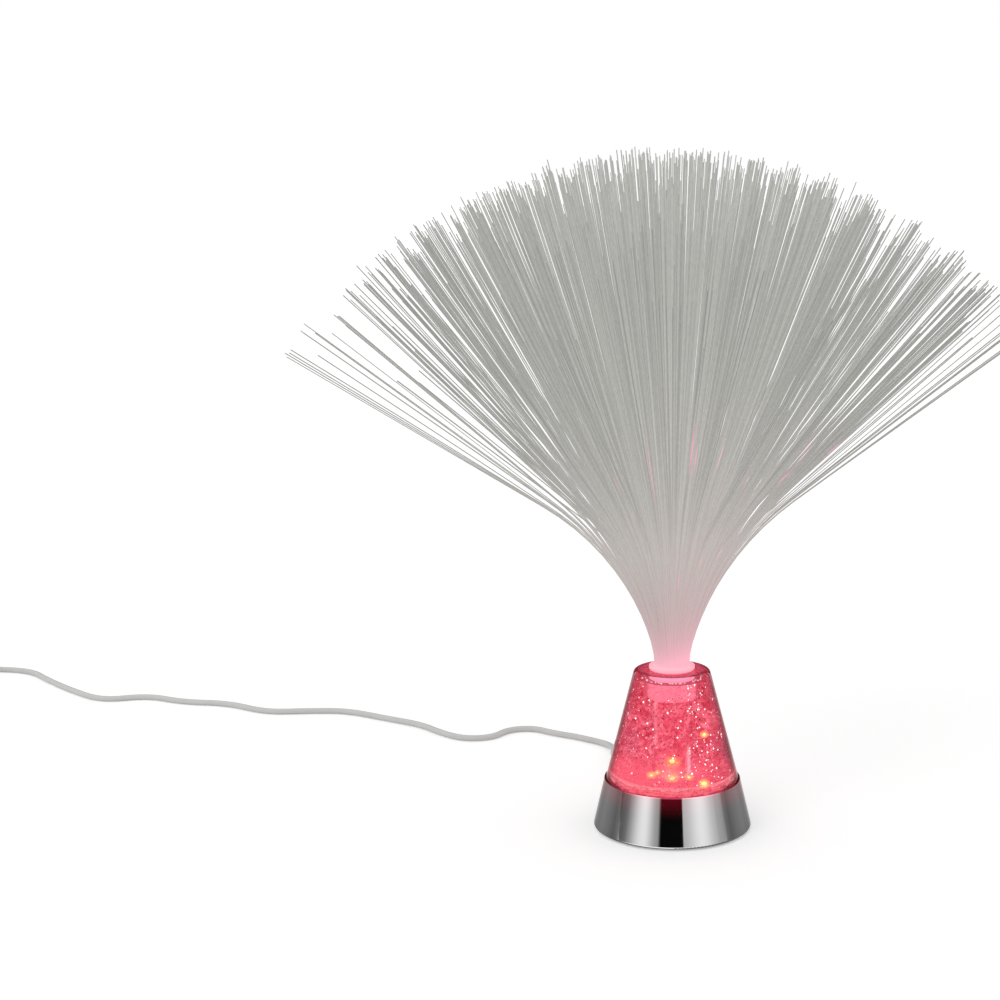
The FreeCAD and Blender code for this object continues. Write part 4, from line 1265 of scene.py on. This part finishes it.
@dataclass
class Vessel:
    """Clear cone with its lit fluid, flakes, bubbles and LED glints. Lengths in metres."""

    foot_radius: float = 33.4 * MM
    top_radius: float = 18.9 * MM
    bottom: float = 23.5 * MM
    rim: float = 25.6 * MM
    ceiling: float = 78.6 * MM
    top: float = 81.8 * MM
    hole_radius: float = 10.27 * MM
    wall: float = 2.685 * MM
    edge_rounding: float = 2.2 * MM
    floor_top: float = 29.5 * MM
    fluid_top: float = 77.8 * MM
    around: int = 128
    flake_count: int = 3200
    bright_share: float = 0.06
    dull_share: float = 0.5
    gathered_share: float = 0.3        # of the bright flakes, round one side
    gathered_at: float = math.radians(-58.0)
    gathered_width: float = 0.2
    settling: float = 1.1              # power of the random height: above 1 more flakes are low down
    wall_share: float = 0.62           # of the flakes that aren't bright, on the wall
    wall_gap: float = 0.02 * MM
    wall_lean: float = 0.26            # upward part of the wall's normal over its level part
    depth_share: float = 0.35          # how deep the others go at most, of the radius there
    depth_power: float = 1.5           # power of their random depth: above 1 more are near the wall
    least_depth: float = 0.4 * MM
    cup_gap: float = 0.6 * MM          # from the cup to the nearest flake
    # least size of a flake in millimetres, the most that is added, and the power of the random share of it
    bright_size: tuple[float, float, float] = (0.34, 0.42, 1.5)
    other_size: tuple[float, float, float] = (0.12, 0.26, 1.6)
    flake_half: float = 0.015 * MM     # half a flake's thickness
    flake_width: float = 0.8           # its width over its length
    flake_lean: float = 0.8            # how much its plane leans at random
    lean_at_wall: float = 0.05         # share of that on the wall
    # least brightness of bright, dull and pink flakes, and the most that is added; the bright ones are
    # painted sparkle
    sparks: tuple[Range, Range, Range] = ((0.85, 0.15), (0.0, 0.12), (0.35, 0.3))
    bubble_count: int = 48
    bubble_circle: float = 14.6 * MM
    bubble_stray: float = 0.45 * MM
    bubble_size: Range = (0.24, 0.3)   # least radius in millimetres, and the most that is added
    bubble_front: Range = (-165.0, -15.0)      # degrees between which two thirds of them are
    bubble_sink: float = 0.9           # how far a bubble's middle is under the ceiling, of its radius
    cup_radius: float = 11.82 * MM
    # the LEDs' bright spots: place and radius in millimetres, and the radius of the glow over the spot's
    glints: tuple[tuple[float, float, float, float, float], ...] = (
        (-9.9, -12.5, 30.4, 0.8, 4.0), (-6.9, -12.5, 32.0, 0.5, 4.0), (0.0, -12.5, 37.9, 1.3, 4.2),
        (0.0, -17.0, 30.5, 1.25, 3.6), (8.0, -14.8, 30.4, 0.8, 3.8), (15.5, -23.8, 29.9, 1.3, 3.0),
        (15.6, -17.3, 53.2, 0.8, 3.6))
    column_glow: tuple[float, float, float, float] = (-1.0, -13.0, 33.0, 9.0)     # place and radius
    ball_shape: tuple[int, int] = (5, 10)      # rings and columns of a small ball

    def outer(self, height: np.ndarray | float) -> np.ndarray | float:
        """Outer radius at a height: it falls evenly from foot to top."""
        slope = (self.foot_radius - self.top_radius) / (self.top - self.rim)
        return self.foot_radius - slope * (height - self.rim)

    def outline(self) -> tuple[np.ndarray, np.ndarray]:
        """The wall's closed outline, with the material slot of the face that starts at each point.

        Returns:
            Rows of radius and height, and one slot number for each.
        """
        foot, rim = (self.foot_radius, self.bottom), (self.foot_radius, self.rim)
        shoulder, mouth = (self.top_radius, self.top), (self.hole_radius, self.top)
        under = (self.hole_radius, self.ceiling)
        corner = (self.outer(self.ceiling) - self.wall, self.ceiling)
        inner_foot = (self.outer(self.bottom) - self.wall, self.bottom)
        parts = [
            (np.array([foot, rim]), ClearSide.OUTSIDE),
            (rounded(rim, shoulder, mouth, self.edge_rounding, 10), ClearSide.OUTSIDE),
            (np.array([mouth]), ClearSide.TOP),
            (np.array([under]), ClearSide.INSIDE),
            (rounded(under, corner, inner_foot, self.edge_rounding / 2, 6), ClearSide.INSIDE),
            (np.array([inner_foot]), ClearSide.OUTSIDE)]
        points = np.concatenate([p for p, _ in parts])
        slots = np.concatenate([np.full(len(p), side.value) for p, side in parts])
        slots[np.flatnonzero(points[:, 1] > self.top - 1e-6)[0]] = ClearSide.TOP.value
        return points, slots

    def build_wall(self) -> None:
        """The clear wall as one closed surface of revolution."""
        outline, slots = self.outline()
        points = turned(outline, self.around)
        faces = grid_faces(len(outline), self.around, True, True)
        materials = [ClearAcrylic("clear acrylic", ClearSide.OUTSIDE).make(),
                     ClearAcrylic("clear acrylic inside", ClearSide.INSIDE, bend=1.0, roughness=0.0).make(),
                     TopFace().make()]
        piece = make_piece("clear_vessel", points, [faces], materials, Body.BASE,
                           slot_of_face=np.repeat(slots, self.around))
        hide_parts("vessel_shell")

    def flake_places(self, rng: np.random.Generator,
                     bright: np.ndarray) -> tuple[np.ndarray, np.ndarray, np.ndarray]:
        """Where the flakes are.

        A place is a random height and angle, and a radius that is that of the wall or drawn towards it.

        Args:
            rng: the source of random numbers.
            bright: which flakes are bright; those are on the wall.

        Returns:
            The flakes' middles, the directions straight out from the axis, and which are on the wall.
        """
        count = self.flake_count
        height = self.floor_top + (self.fluid_top - self.floor_top) * rng.random(count) ** self.settling
        angle = rng.random(count) * 2.0 * math.pi
        gathered = bright & (rng.random(count) < self.gathered_share)
        angle = np.where(gathered, self.gathered_at + self.gathered_width * rng.normal(size=count), angle)
        limit = self.outer(height) - self.wall
        at_wall = (rng.random(count) < self.wall_share) | bright
        inner = rng.random(count) ** self.depth_power * self.depth_share * limit + self.least_depth
        depth = np.where(at_wall, self.wall_gap, inner)
        radius = np.maximum(limit - depth, self.cup_radius + self.cup_gap)
        out = np.stack([np.cos(angle), np.sin(angle), np.zeros(count)], axis=-1)
        middle = out * radius[:, None]
        middle[:, 2] = height
        return middle, out, at_wall

    def build_flakes(self) -> None:
        """Thin flakes through the fluid, each a flat eight-sided crystal of six corners.

        A flake is four corners in its plane and two just above and below it. Its plane leans at random,
        and lies along the wall where the flake is on it. Bright ones are bigger.
        """
        rng = np.random.default_rng(7)
        count = self.flake_count
        draw = rng.random(count)
        bright = draw > 1.0 - self.bright_share
        # painted sparkle: the bright flakes are nearly white
        white, dull, pink = (least + more * rng.random(count) for least, more in self.sparks)
        spark = np.where(bright, white, np.where(draw < self.dull_share, dull, pink))
        middle, out, at_wall = self.flake_places(rng, bright)
        lean = np.where(at_wall, self.lean_at_wall, 1.0)[:, None] * rng.normal(size=(count, 3))
        normal = out + np.array([0.0, 0.0, self.wall_lean]) + lean * self.flake_lean
        normal /= np.linalg.norm(normal, axis=1, keepdims=True)
        along = np.cross(normal, rng.normal(size=(count, 3)))
        along /= np.linalg.norm(along, axis=1, keepdims=True)
        across = np.cross(normal, along)
        large, small = (least + more * rng.random(count) ** power
                        for least, more, power in (self.bright_size, self.other_size))
        size = np.where(bright, large, small)[:, None] * MM
        long, wide = along * size, across * size * self.flake_width
        steps = (long, wide, -long, -wide, normal * self.flake_half, -normal * self.flake_half)
        corners = np.stack([middle + step for step in steps], axis=1)
        ring = np.array([(0, 1, 4), (1, 2, 4), (2, 3, 4), (3, 0, 4),
                         (1, 0, 5), (2, 1, 5), (3, 2, 5), (0, 3, 5)])
        faces = (np.arange(count)[:, None, None] * len(steps) + ring[None]).reshape(-1, 3)
        piece = make_piece("glitter_flakes", corners.reshape(-1, 3), [faces], [GlitterFlake().make()],
                           Body.BASE, sharp_from=None, carried={"spark": np.repeat(spark, len(steps))})

    def build_balls(self, name: str, middles: np.ndarray, sizes: np.ndarray, finish: Finish,
                    squash: float = 1.0) -> None:
        """Small round bodies, all from one ball of rings and columns.

        Args:
            name: the piece's name.
            middles: the balls' middles, one row each.
            sizes: their radii.
            finish: the finish they get.
            squash: height of a ball over its width.
        """
        rings, columns = self.ball_shape
        tilt = np.linspace(0.0, math.pi, rings + 2)[1:-1, None]
        outline = np.concatenate([np.sin(tilt), np.cos(tilt) * squash], axis=1)
        ball = np.concatenate([turned(outline, columns), [[0.0, 0.0, squash], [0.0, 0.0, -squash]]])
        quads = grid_faces(rings, columns, False, True)[:, ::-1]
        j = np.arange(columns)
        beside, last = (j + 1) % columns, (rings - 1) * columns
        top, bottom = np.full(columns, rings * columns), np.full(columns, rings * columns + 1)
        caps = np.concatenate([np.stack([top, j, beside], axis=-1),
                               np.stack([bottom, last + beside, last + j], axis=-1)])
        points = (middles[:, None, :] + ball[None] * sizes[:, None, None]).reshape(-1, 3)
        shift = np.arange(len(middles))[:, None, None] * len(ball)
        faces = [(shift + quads[None]).reshape(-1, 4), (shift + caps[None]).reshape(-1, 3)]
        piece = make_piece(name, points, faces, [finish.make()], Body.BASE, sharp_from=None)

    def build_bubbles(self) -> None:
        """Bubbles of trapped air with a painted silver reflection, in a ring under the ceiling, two thirds of
        them in front.
        """
        rng = np.random.default_rng(11)
        angle = np.concatenate([rng.uniform(*self.bubble_front, self.bubble_count * 2 // 3),
                                rng.uniform(0.0, 360.0, self.bubble_count // 3 + 1)])
        radius = self.bubble_circle + rng.normal(size=len(angle)) * self.bubble_stray
        least, more = self.bubble_size
        size = (least + more * rng.random(len(angle))) * MM
        around = np.radians(angle)
        middles = np.stack([radius * np.cos(around), radius * np.sin(around),
                            self.ceiling - size * self.bubble_sink], axis=-1)
        # painted reflection: the bubbles' pale glow stands in for the light they mirror
        finish = LitLens("air bubbles", tint(210, 196, 200), tint(235, 205, 212), 0.4)
        self.build_balls("air_bubbles", middles, size, finish, squash=0.8)

    def build_glints(self) -> None:
        """Bright warm spots where the LEDs shine up through the floor, and the glow round them."""
        glints = np.array(self.glints)
        middles, sizes = glints[:, :3] * MM, glints[:, 3] * MM
        spot = LitLens("led glints", tint(255, 232, 160), tint(255, 220, 124), 2.6)
        self.build_balls("led_glints", middles, sizes, spot, squash=0.6)
        halo = SoftGlow("led halo", tint(255, 166, 96), 1.9)
        self.build_balls("led_halos", middles, sizes * glints[:, 4], halo, squash=0.8)
        dome = SoftGlow("light at the column's foot", tint(255, 164, 146), 1.1, cover=0.8)
        foot = np.array([self.column_glow]) * MM
        self.build_balls("foot_glow", foot[:, :3], foot[:, 3], dome, squash=0.7)

    def build(self) -> None:
        """Make the pieces and dress the CAD nodes of the vessel."""
        self.build_wall()
        self.build_flakes()
        self.build_bubbles()
        self.build_glints()
        dress(GlitterFluid(), "glitter_fluid")
        dress(LitFloor(), "vessel_floor")
        dress(MilkyColumn(), "light_column", "light_window")
        dress(MouldedPlastic("lit socket cup", tint(190, 90, 110), roughness=0.35, dust=0.0,
                             glow=tint(255, 156, 182), glow_strength=0.86), "socket_cup")
        dress(MouldedPlastic("black rubber", tint(38, 38, 40), roughness=0.7), "vessel_gasket", "filler_seal")
        dress(MouldedPlastic("white filler plug", tint(225, 222, 218)), "filler_plug")
        dress(BareMetal("steel screws", tint(190, 188, 184), roughness=0.28),
              "vessel_screws", "cover_screws", "board_screws", "clamp_screws", "button_nut")


@dataclass
class FibreHead:
    """Collar, sleeve and the spray of fibres. Lengths in metres, angles in degrees."""

    ring_count: int = 9
    strand_pitch: float = 0.92 * MM
    fibres_in_strand: int = 7
    strand_core: float = 0.29 * MM      # the outer fibres of a strand stand this far from its middle one
    ring_twist: float = 11.0
    lower_end: float = 71.86 * MM
    mouth: float = 84.85 * MM
    fibre_length: float = 252.0 * MM
    length_loss: float = 7.0 * MM
    strand_spread: float = 2.5 * MM
    length_spread: float = 1.8 * MM
    kick: float = 16.0
    kick_length: float = 10.0 * MM
    bend_length: float = 90.0 * MM
    spread: float = 60.0
    core_share: float = 0.585
    skirt_power: float = 22.0
    line_points: int = 80          # points of a line before it is thinned out to the stations
    golden_share: float = 0.618034
    golden_start: float = 0.5636
    stray: float = 1.0             # how far a fibre's lean strays from its strand's
    outer_stray: float = 1.3       # how far more at the rim
    outer_lift: float = 0.05       # share by which the outermost fibres lean less all round
    right_lift: float = 0.07       # and by which they lean still less to the right
    left_lean: float = 3.5         # degrees by which the fibres just inside the skirt lean out at each side
    right_lean: float = 9.0
    lean_places: tuple[float, ...] = (0.72, 0.9, 0.95, 0.985)   # where that sets in, is full, ends
    right_loss: float = 4.5 * MM   # how much shorter the outer fibres on the right are
    # bunches seen from the front: degrees from one to the next, how far they draw fibres, and their shift
    bunches: tuple[tuple[float, float, float], ...] = ((6.4, 1.35, 3.0), (2.7, 0.3, 0.4))
    bunch_leans: tuple[float, ...] = (14.0, 26.0, 38.0, 46.0)   # sideways leans between which they form
    bunch_shares: tuple[float, ...] = (0.0, 1.0, 1.0, 0.2)      # how strongly, at each of these leans
    left_bunching: float = 0.4     # how strongly on the left, over the right
    fibre_radius: float = 0.305 * MM
    outer_dimming: float = 0.3     # how much darker the outermost fibres are
    dimming_power: int = 3
    rim_power: int = 6             # power of the place where only the outermost fibres count
    root_share: float = 0.72       # thickness at the root over thickness outside
    root_length: float = 60.0 * MM
    thickness: Range = (0.9, 0.2)  # least share of the radius that a fibre has, and the most added
    tone_spread: float = 0.08
    reach: tuple[float, float] = (189.2 * MM, 158.0 * MM)
    highest: float = 339.2 * MM
    stations: tuple[float, ...] = (0.0, 0.02, 0.045, 0.075, 0.105, 0.14, 0.175, 0.21, 0.25, 0.29, 0.33, 0.37,
                                   0.41, 0.6, 0.8, 1.0)
    leak_width: float = 1.0 * MM   # how far a leak's fibre may be to the left or right of it
    # the odd fibres that leak at random: their share, and in millimetres between where and how far
    odd_share: float = 0.02
    odd_light: float = 0.3
    odd_places: Range = (45.0, 110.0)
    odd_reach: float = 8.0
    # leaks of light: x and height of the middle, brightness, and reach along the fibre
    leaks: tuple[tuple[float, float, float, float], ...] = (
        (9.6, 207.0, 1.0, 15.0), (10.6, 198.0, 0.7, 9.0), (-10.0, 193.0, 0.7, 18.0), (22.2, 196.0, 0.5, 8.0),
        (61.0, 192.0, 0.45, 20.0), (75.0, 203.0, 0.8, 5.0), (64.0, 197.0, 0.8, 4.0), (52.0, 190.0, 0.7, 4.0),
        (45.0, 182.0, 0.6, 4.0), (22.3, 147.0, 0.5, 4.0), (14.6, 142.5, 0.6, 4.0), (4.0, 132.0, 0.5, 5.0),
        (-26.7, 184.0, 0.4, 6.0), (-18.8, 171.0, 0.4, 5.0))

    @property
    def count(self) -> int:
        """How many fibres there are."""
        return (1 + 3 * self.ring_count * (self.ring_count + 1)) * self.fibres_in_strand

    def strands(self) -> tuple[np.ndarray, np.ndarray, np.ndarray, np.ndarray]:
        """Where the strands stand: rings of six times k round a middle one.

        Within a ring the place, 0 in the middle and 1 at the rim, steps on by the golden share, and the
        two halves of a ring match.

        Returns:
            Radius, direction, place and length of each strand.
        """
        ring = np.repeat(np.arange(1, self.ring_count + 1), 6 * np.arange(1, self.ring_count + 1))
        index = np.concatenate([np.arange(6 * k) for k in range(1, self.ring_count + 1)])
        twin = index % (3 * ring)
        place = (ring - 0.5 + (self.golden_start + self.golden_share * twin) % 1.0) / (self.ring_count + 0.5)
        heading = np.radians(ring * self.ring_twist + 60.0 * index / ring)
        side = np.where(twin % 2 == 1, 1.0, -1.0)
        length = self.fibre_length - self.length_loss * place - side * self.strand_spread
        middle = np.array([0.0])
        return (np.concatenate([middle, ring * self.strand_pitch]), np.concatenate([middle, heading]),
                np.concatenate([middle, place]),
                np.concatenate([[self.fibre_length + self.strand_spread], length]))

    def leans(self, heading: np.ndarray, place: np.ndarray, rng: np.random.Generator) -> np.ndarray:
        """How far each fibre finally leans to the right and backwards.

        The tilt is the spread times (core share times place plus the rest times place to the skirt
        power). The outermost fibres lean less, by shares times place to the rim power. Those just inside
        them lean out further at both sides, by the square of how much they point sideways. Each fibre
        strays from its strand. Last, bunches form: sines of a sideways lean are added to it.

        Args:
            heading: direction round Z of each fibre's strand.
            place: the strand's place, 0 in the middle and 1 at the rim.
            rng: the source of random numbers.

        Returns:
            Degrees towards +X and +Y, one row a fibre.
        """
        sideways = np.cos(heading)
        tilt = self.spread * (self.core_share * place + (1.0 - self.core_share) * place ** self.skirt_power)
        less = self.outer_lift + self.right_lift * np.maximum(sideways, 0.0)
        tilt = tilt * (1.0 - less * place ** self.rim_power)
        inside_skirt = np.interp(place, self.lean_places, (0.0, 1.0, 1.0, 0.0))
        side_lean = np.where(sideways > 0.0, self.right_lean, self.left_lean)
        tilt = tilt + side_lean * inside_skirt * sideways ** 2
        lean = np.stack([tilt * sideways, tilt * np.sin(heading)], axis=-1)
        strays = self.stray + self.outer_stray * place ** self.rim_power
        lean = lean + strays[:, None] * rng.normal(size=lean.shape)
        drawn = np.interp(np.abs(lean[:, 0]), self.bunch_leans, self.bunch_shares)
        drawn = drawn * np.where(lean[:, 0] > 0.0, 1.0, self.left_bunching)
        lean[:, 0] += drawn * sum(amount * np.sin(2.0 * math.pi * (lean[:, 0] - shift) / period)
                                  for period, amount, shift in self.bunches)
        return lean

    def paths(self, rng: np.random.Generator) -> tuple[np.ndarray, np.ndarray]:
        """The fibres' lines above the collar.

        A strand is one fibre with six round it. The tilt grows by the kick over its length, then to the
        fibre's final lean over the bend, and stays. A point is the sum of the short steps before it:
        sideways by the sine of the tilt, upwards by its cosine. A line ends at the lamp's outer box.

        Args:
            rng: the source of random numbers.

        Returns:
            Points of each fibre at its stations, and the distance of each from the collar.
        """
        radius, heading, place, length = (np.repeat(v, self.fibres_in_strand) for v in self.strands())
        slot = np.tile(np.arange(self.fibres_in_strand), len(place) // self.fibres_in_strand)
        around = heading + np.radians(60.0 * slot)
        off = np.where(slot > 0, self.strand_core, 0.0)
        root = np.stack([radius * np.cos(heading) + off * np.cos(around),
                         radius * np.sin(heading) + off * np.sin(around)], axis=-1)
        lean = self.leans(heading, place, rng)
        length = length - self.right_loss * place * np.maximum(np.cos(heading), 0.0)
        length = length + self.length_spread * rng.normal(size=len(length))
        final = np.radians(np.linalg.norm(lean, axis=1))[:, None]
        toward = np.arctan2(lean[:, 1], lean[:, 0])[:, None]
        along = np.linspace(0.0, 1.0, self.line_points)[None, :] * length[:, None]
        kick = np.minimum(np.radians(self.kick) * place[:, None], final)
        later = np.clip((along - self.kick_length) / self.bend_length, 0.0, 1.0)
        bend = kick * np.clip(along / self.kick_length, 0.0, 1.0) + (final - kick) * later
        step = np.diff(along, axis=1, prepend=0.0)
        middle = np.concatenate([bend[:, :1], (bend[:, 1:] + bend[:, :-1]) / 2.0], axis=1)
        sideways = np.cumsum(np.sin(middle) * step, axis=1)
        line = np.stack([root[:, :1] + sideways * np.cos(toward), root[:, 1:] + sideways * np.sin(toward),
                         self.mouth + np.cumsum(np.cos(middle) * step, axis=1)], axis=-1)
        inside = np.all(np.abs(line) < np.array([*self.reach, self.highest]), axis=2)
        at = np.array(self.stations)[None, :] * (inside.sum(axis=1) - 1.001)[:, None]
        low = at.astype(int)
        part = at - low
        rows = np.arange(self.count)[:, None]
        points = line[rows, low] * (1.0 - part[..., None]) + line[rows, low + 1] * part[..., None]
        distance = along[rows, low] * (1.0 - part) + along[rows, low + 1] * part
        return points, distance

    def leaking(self, points: np.ndarray, distance: np.ndarray,
                rng: np.random.Generator) -> tuple[np.ndarray, np.ndarray, np.ndarray]:
        """Which fibres leak light, and where along them.

        A few leak at random. The rest are the foremost fibres near a leak's place, found by
        interpolating each fibre's line at the leak's height.

        Args:
            points: the fibres' points.
            distance: distance of each point from the collar.
            rng: the source of random numbers.

        Returns:
            Distance from the collar in millimetres, brightness and reach of each fibre's leak.
        """
        light = self.odd_light * (rng.random(self.count) < self.odd_share)
        at = rng.uniform(*self.odd_places, self.count)
        reach = np.full(self.count, self.odd_reach)
        rows = np.arange(self.count)
        for x, height, brightness, leak_reach in self.leaks:
            low = np.clip((points[..., 2] < height * MM).sum(axis=1) - 1, 0, points.shape[1] - 2)
            start, end = points[rows, low], points[rows, low + 1]
            part = (height * MM - start[:, 2]) / (end[:, 2] - start[:, 2])
            there = start + (end - start) * part[:, None]
            away = np.abs(there[:, 0] - x * MM) + np.where((part < 0.0) | (part > 1.0), 1.0, 0.0)
            chosen = np.argmin(np.where(away < self.leak_width, there[:, 1], 1.0))
            light[chosen] = brightness
            reach[chosen] = leak_reach
            at[chosen] = (distance[chosen, low[chosen]] * (1.0 - part[chosen])
                          + distance[chosen, low[chosen] + 1] * part[chosen]) / MM
        return at, light, reach

    def tubes(self, points: np.ndarray, distance: np.ndarray, rng: np.random.Generator) -> np.ndarray:
        """Corners of the three-sided tubes round the fibres' lines.

        A corner lies off its point by the fibre's radius times (cosine times a level vector square to
        the fibre's heading, plus sine times the vector square to that and to the line).

        Args:
            points: the lines' points.
            distance: distance of each point from the collar.
            rng: the source of random numbers.

        Returns:
            Three corners for each point of each fibre.
        """
        ahead = np.gradient(points, axis=1)
        ahead /= np.linalg.norm(ahead, axis=2, keepdims=True)
        heading = points[:, -1, :2] - points[:, 0, :2]
        heading /= np.maximum(np.linalg.norm(heading, axis=1, keepdims=True), 1e-9)
        level = np.stack([-heading[:, 1], heading[:, 0], np.zeros(self.count)], axis=-1)[:, None, :]
        over = np.cross(np.broadcast_to(level, ahead.shape), ahead)
        grown = np.clip(distance / self.root_length, 0.0, 1.0)
        thick = self.fibre_radius * (self.root_share + (1.0 - self.root_share) * grown)
        least, more = self.thickness
        thick = thick * (least + more * rng.random(self.count))[:, None]
        angle = np.radians([90.0, 210.0, 330.0])[None, None, :, None]
        shape = np.cos(angle) * level[:, :, None, :] + np.sin(angle) * over[:, :, None, :]
        return points[:, :, None, :] + thick[:, :, None, None] * shape

    def build_fibres(self) -> None:
        """All fibres as one mesh of three-sided tubes with closed ends."""
        rng = np.random.default_rng(3)
        points, distance = self.paths(rng)
        leak_at, leak_light, leak_reach = self.leaking(points, distance, rng)
        below = points[:, 0].copy()
        below[:, 2] = self.lower_end
        points = np.concatenate([below[:, None], points], axis=1)
        distance = np.concatenate([np.full((self.count, 1), self.lower_end - self.mouth), distance], axis=1)
        corners = self.tubes(points, distance, rng)
        each = points.shape[1] * 3
        side = grid_faces(points.shape[1], 3, False, True)
        caps = np.array([(0, 2, 1), (each - 3, each - 2, each - 1)])
        shift = np.arange(self.count)[:, None, None] * each
        faces = [(shift + side[None]).reshape(-1, 4), (shift + caps[None]).reshape(-1, 3)]
        place = np.repeat(self.strands()[2], self.fibres_in_strand)
        tone = 1.0 + self.tone_spread * rng.normal(size=self.count)
        tone = tone * (1.0 - self.outer_dimming * place ** self.dimming_power)
        single = {"tone": tone, "leak_at": leak_at, "leak_light": leak_light, "leak_reach": leak_reach}
        carried = {name: np.repeat(values, each) for name, values in single.items()}
        carried["along"] = np.repeat(distance.ravel() / MM, 3)
        piece = make_piece("light_fibres", corners.reshape(-1, 3), faces, [GuideFibre().make()], Body.BUNDLE,
                           sharp_from=None, carried=carried)
        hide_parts("fibre_centre", *[f"fibre_ring_{k}" for k in range(1, self.ring_count + 1)])

    def build(self) -> None:
        """Make the fibres and dress collar and sleeve."""
        self.build_fibres()
        dress(MouldedPlastic("lit white collar", tint(200, 150, 158), roughness=0.35, dust=0.0,
                             glow=tint(255, 176, 190), glow_strength=0.62), "fibre_collar", "bundle_sleeve")
        # painted light: the seal glows pink like the lit collar
        dress(MouldedPlastic("lit milky seal", tint(214, 130, 146), roughness=0.6, glow=tint(250, 120, 146),
                             glow_strength=0.6), "collar_seal")


@dataclass
class PlatedBase:
    """Plated shell, its cover and feet, the push-button and what is on the board."""

    foot: float = 1.0 * MM
    rim: float = 25.6 * MM
    # painted shade: brightness that the plating's mirror image keeps, by how far it turns from the eye
    away: tuple[tuple[float, float], ...] = (
        (0.0, 1.0), (0.18, 1.0), (0.21, 0.75), (0.24, 0.44), (0.285, 0.14), (0.34, 0.1), (0.43, 0.15),
        (0.57, 0.2), (0.8, 0.14))

    def build(self) -> None:
        """Dress every CAD node of the base."""
        dress(BareMetal("bright plating", (0.95, 0.95, 0.96), roughness=0.035, marks=0.4,
                        edges=(self.foot, self.rim), away=self.away, grazing=0.65, spill=tint(84, 2, 16),
                        lip_reflection=tint(190, 64, 92), spill_from=14.5 * MM, spill_to=25.7 * MM), "base_shell")
        dress(MouldedPlastic("grey cover", tint(120, 120, 122), roughness=0.55), "bottom_cover", "cord_clamp")
        dress(MouldedPlastic("rubber feet", tint(46, 46, 48), roughness=0.8), "rubber_feet")
        dress(CircuitBoard(), "led_board")
        dress(LitLens("lit leds", tint(255, 200, 160), tint(255, 120, 50), 1.6), "ring_leds", "centre_led")
        # painted light: a faint pink glow of the LEDs' light
        dress(MouldedPlastic("lit white funnel", tint(235, 228, 224), glow=tint(250, 110, 120),
                             glow_strength=0.3), "light_funnel")
        dress(MouldedPlastic("black plastic", tint(32, 32, 34)),
              "controller_chip", "resistors", "capacitor", "button_body")
        dress(MouldedPlastic("white plastic", tint(226, 226, 222), roughness=0.35, grain_depth=0.03 * MM),
              "button_cap", "plug_tongue")
        dress(BareMetal("brass contacts", tint(214, 172, 96), roughness=0.25),
              "button_terminals", "plug_contacts")
        dress(MouldedPlastic("red lead", tint(170, 34, 34), roughness=0.4), "cord_leads", "button_leads")


def main() -> None:
    """Build the studio and the lamp, piece by piece."""
    logging.basicConfig(level=logging.INFO, format="%(name)s: %(message)s")
    bpy.context.scene.view_settings.view_transform = "Standard"
    Studio().build()
    PowerCord().build()
    PlatedBase().build()
    Vessel().build()
    FibreHead().build()


if __name__ == "__main__":
    main()
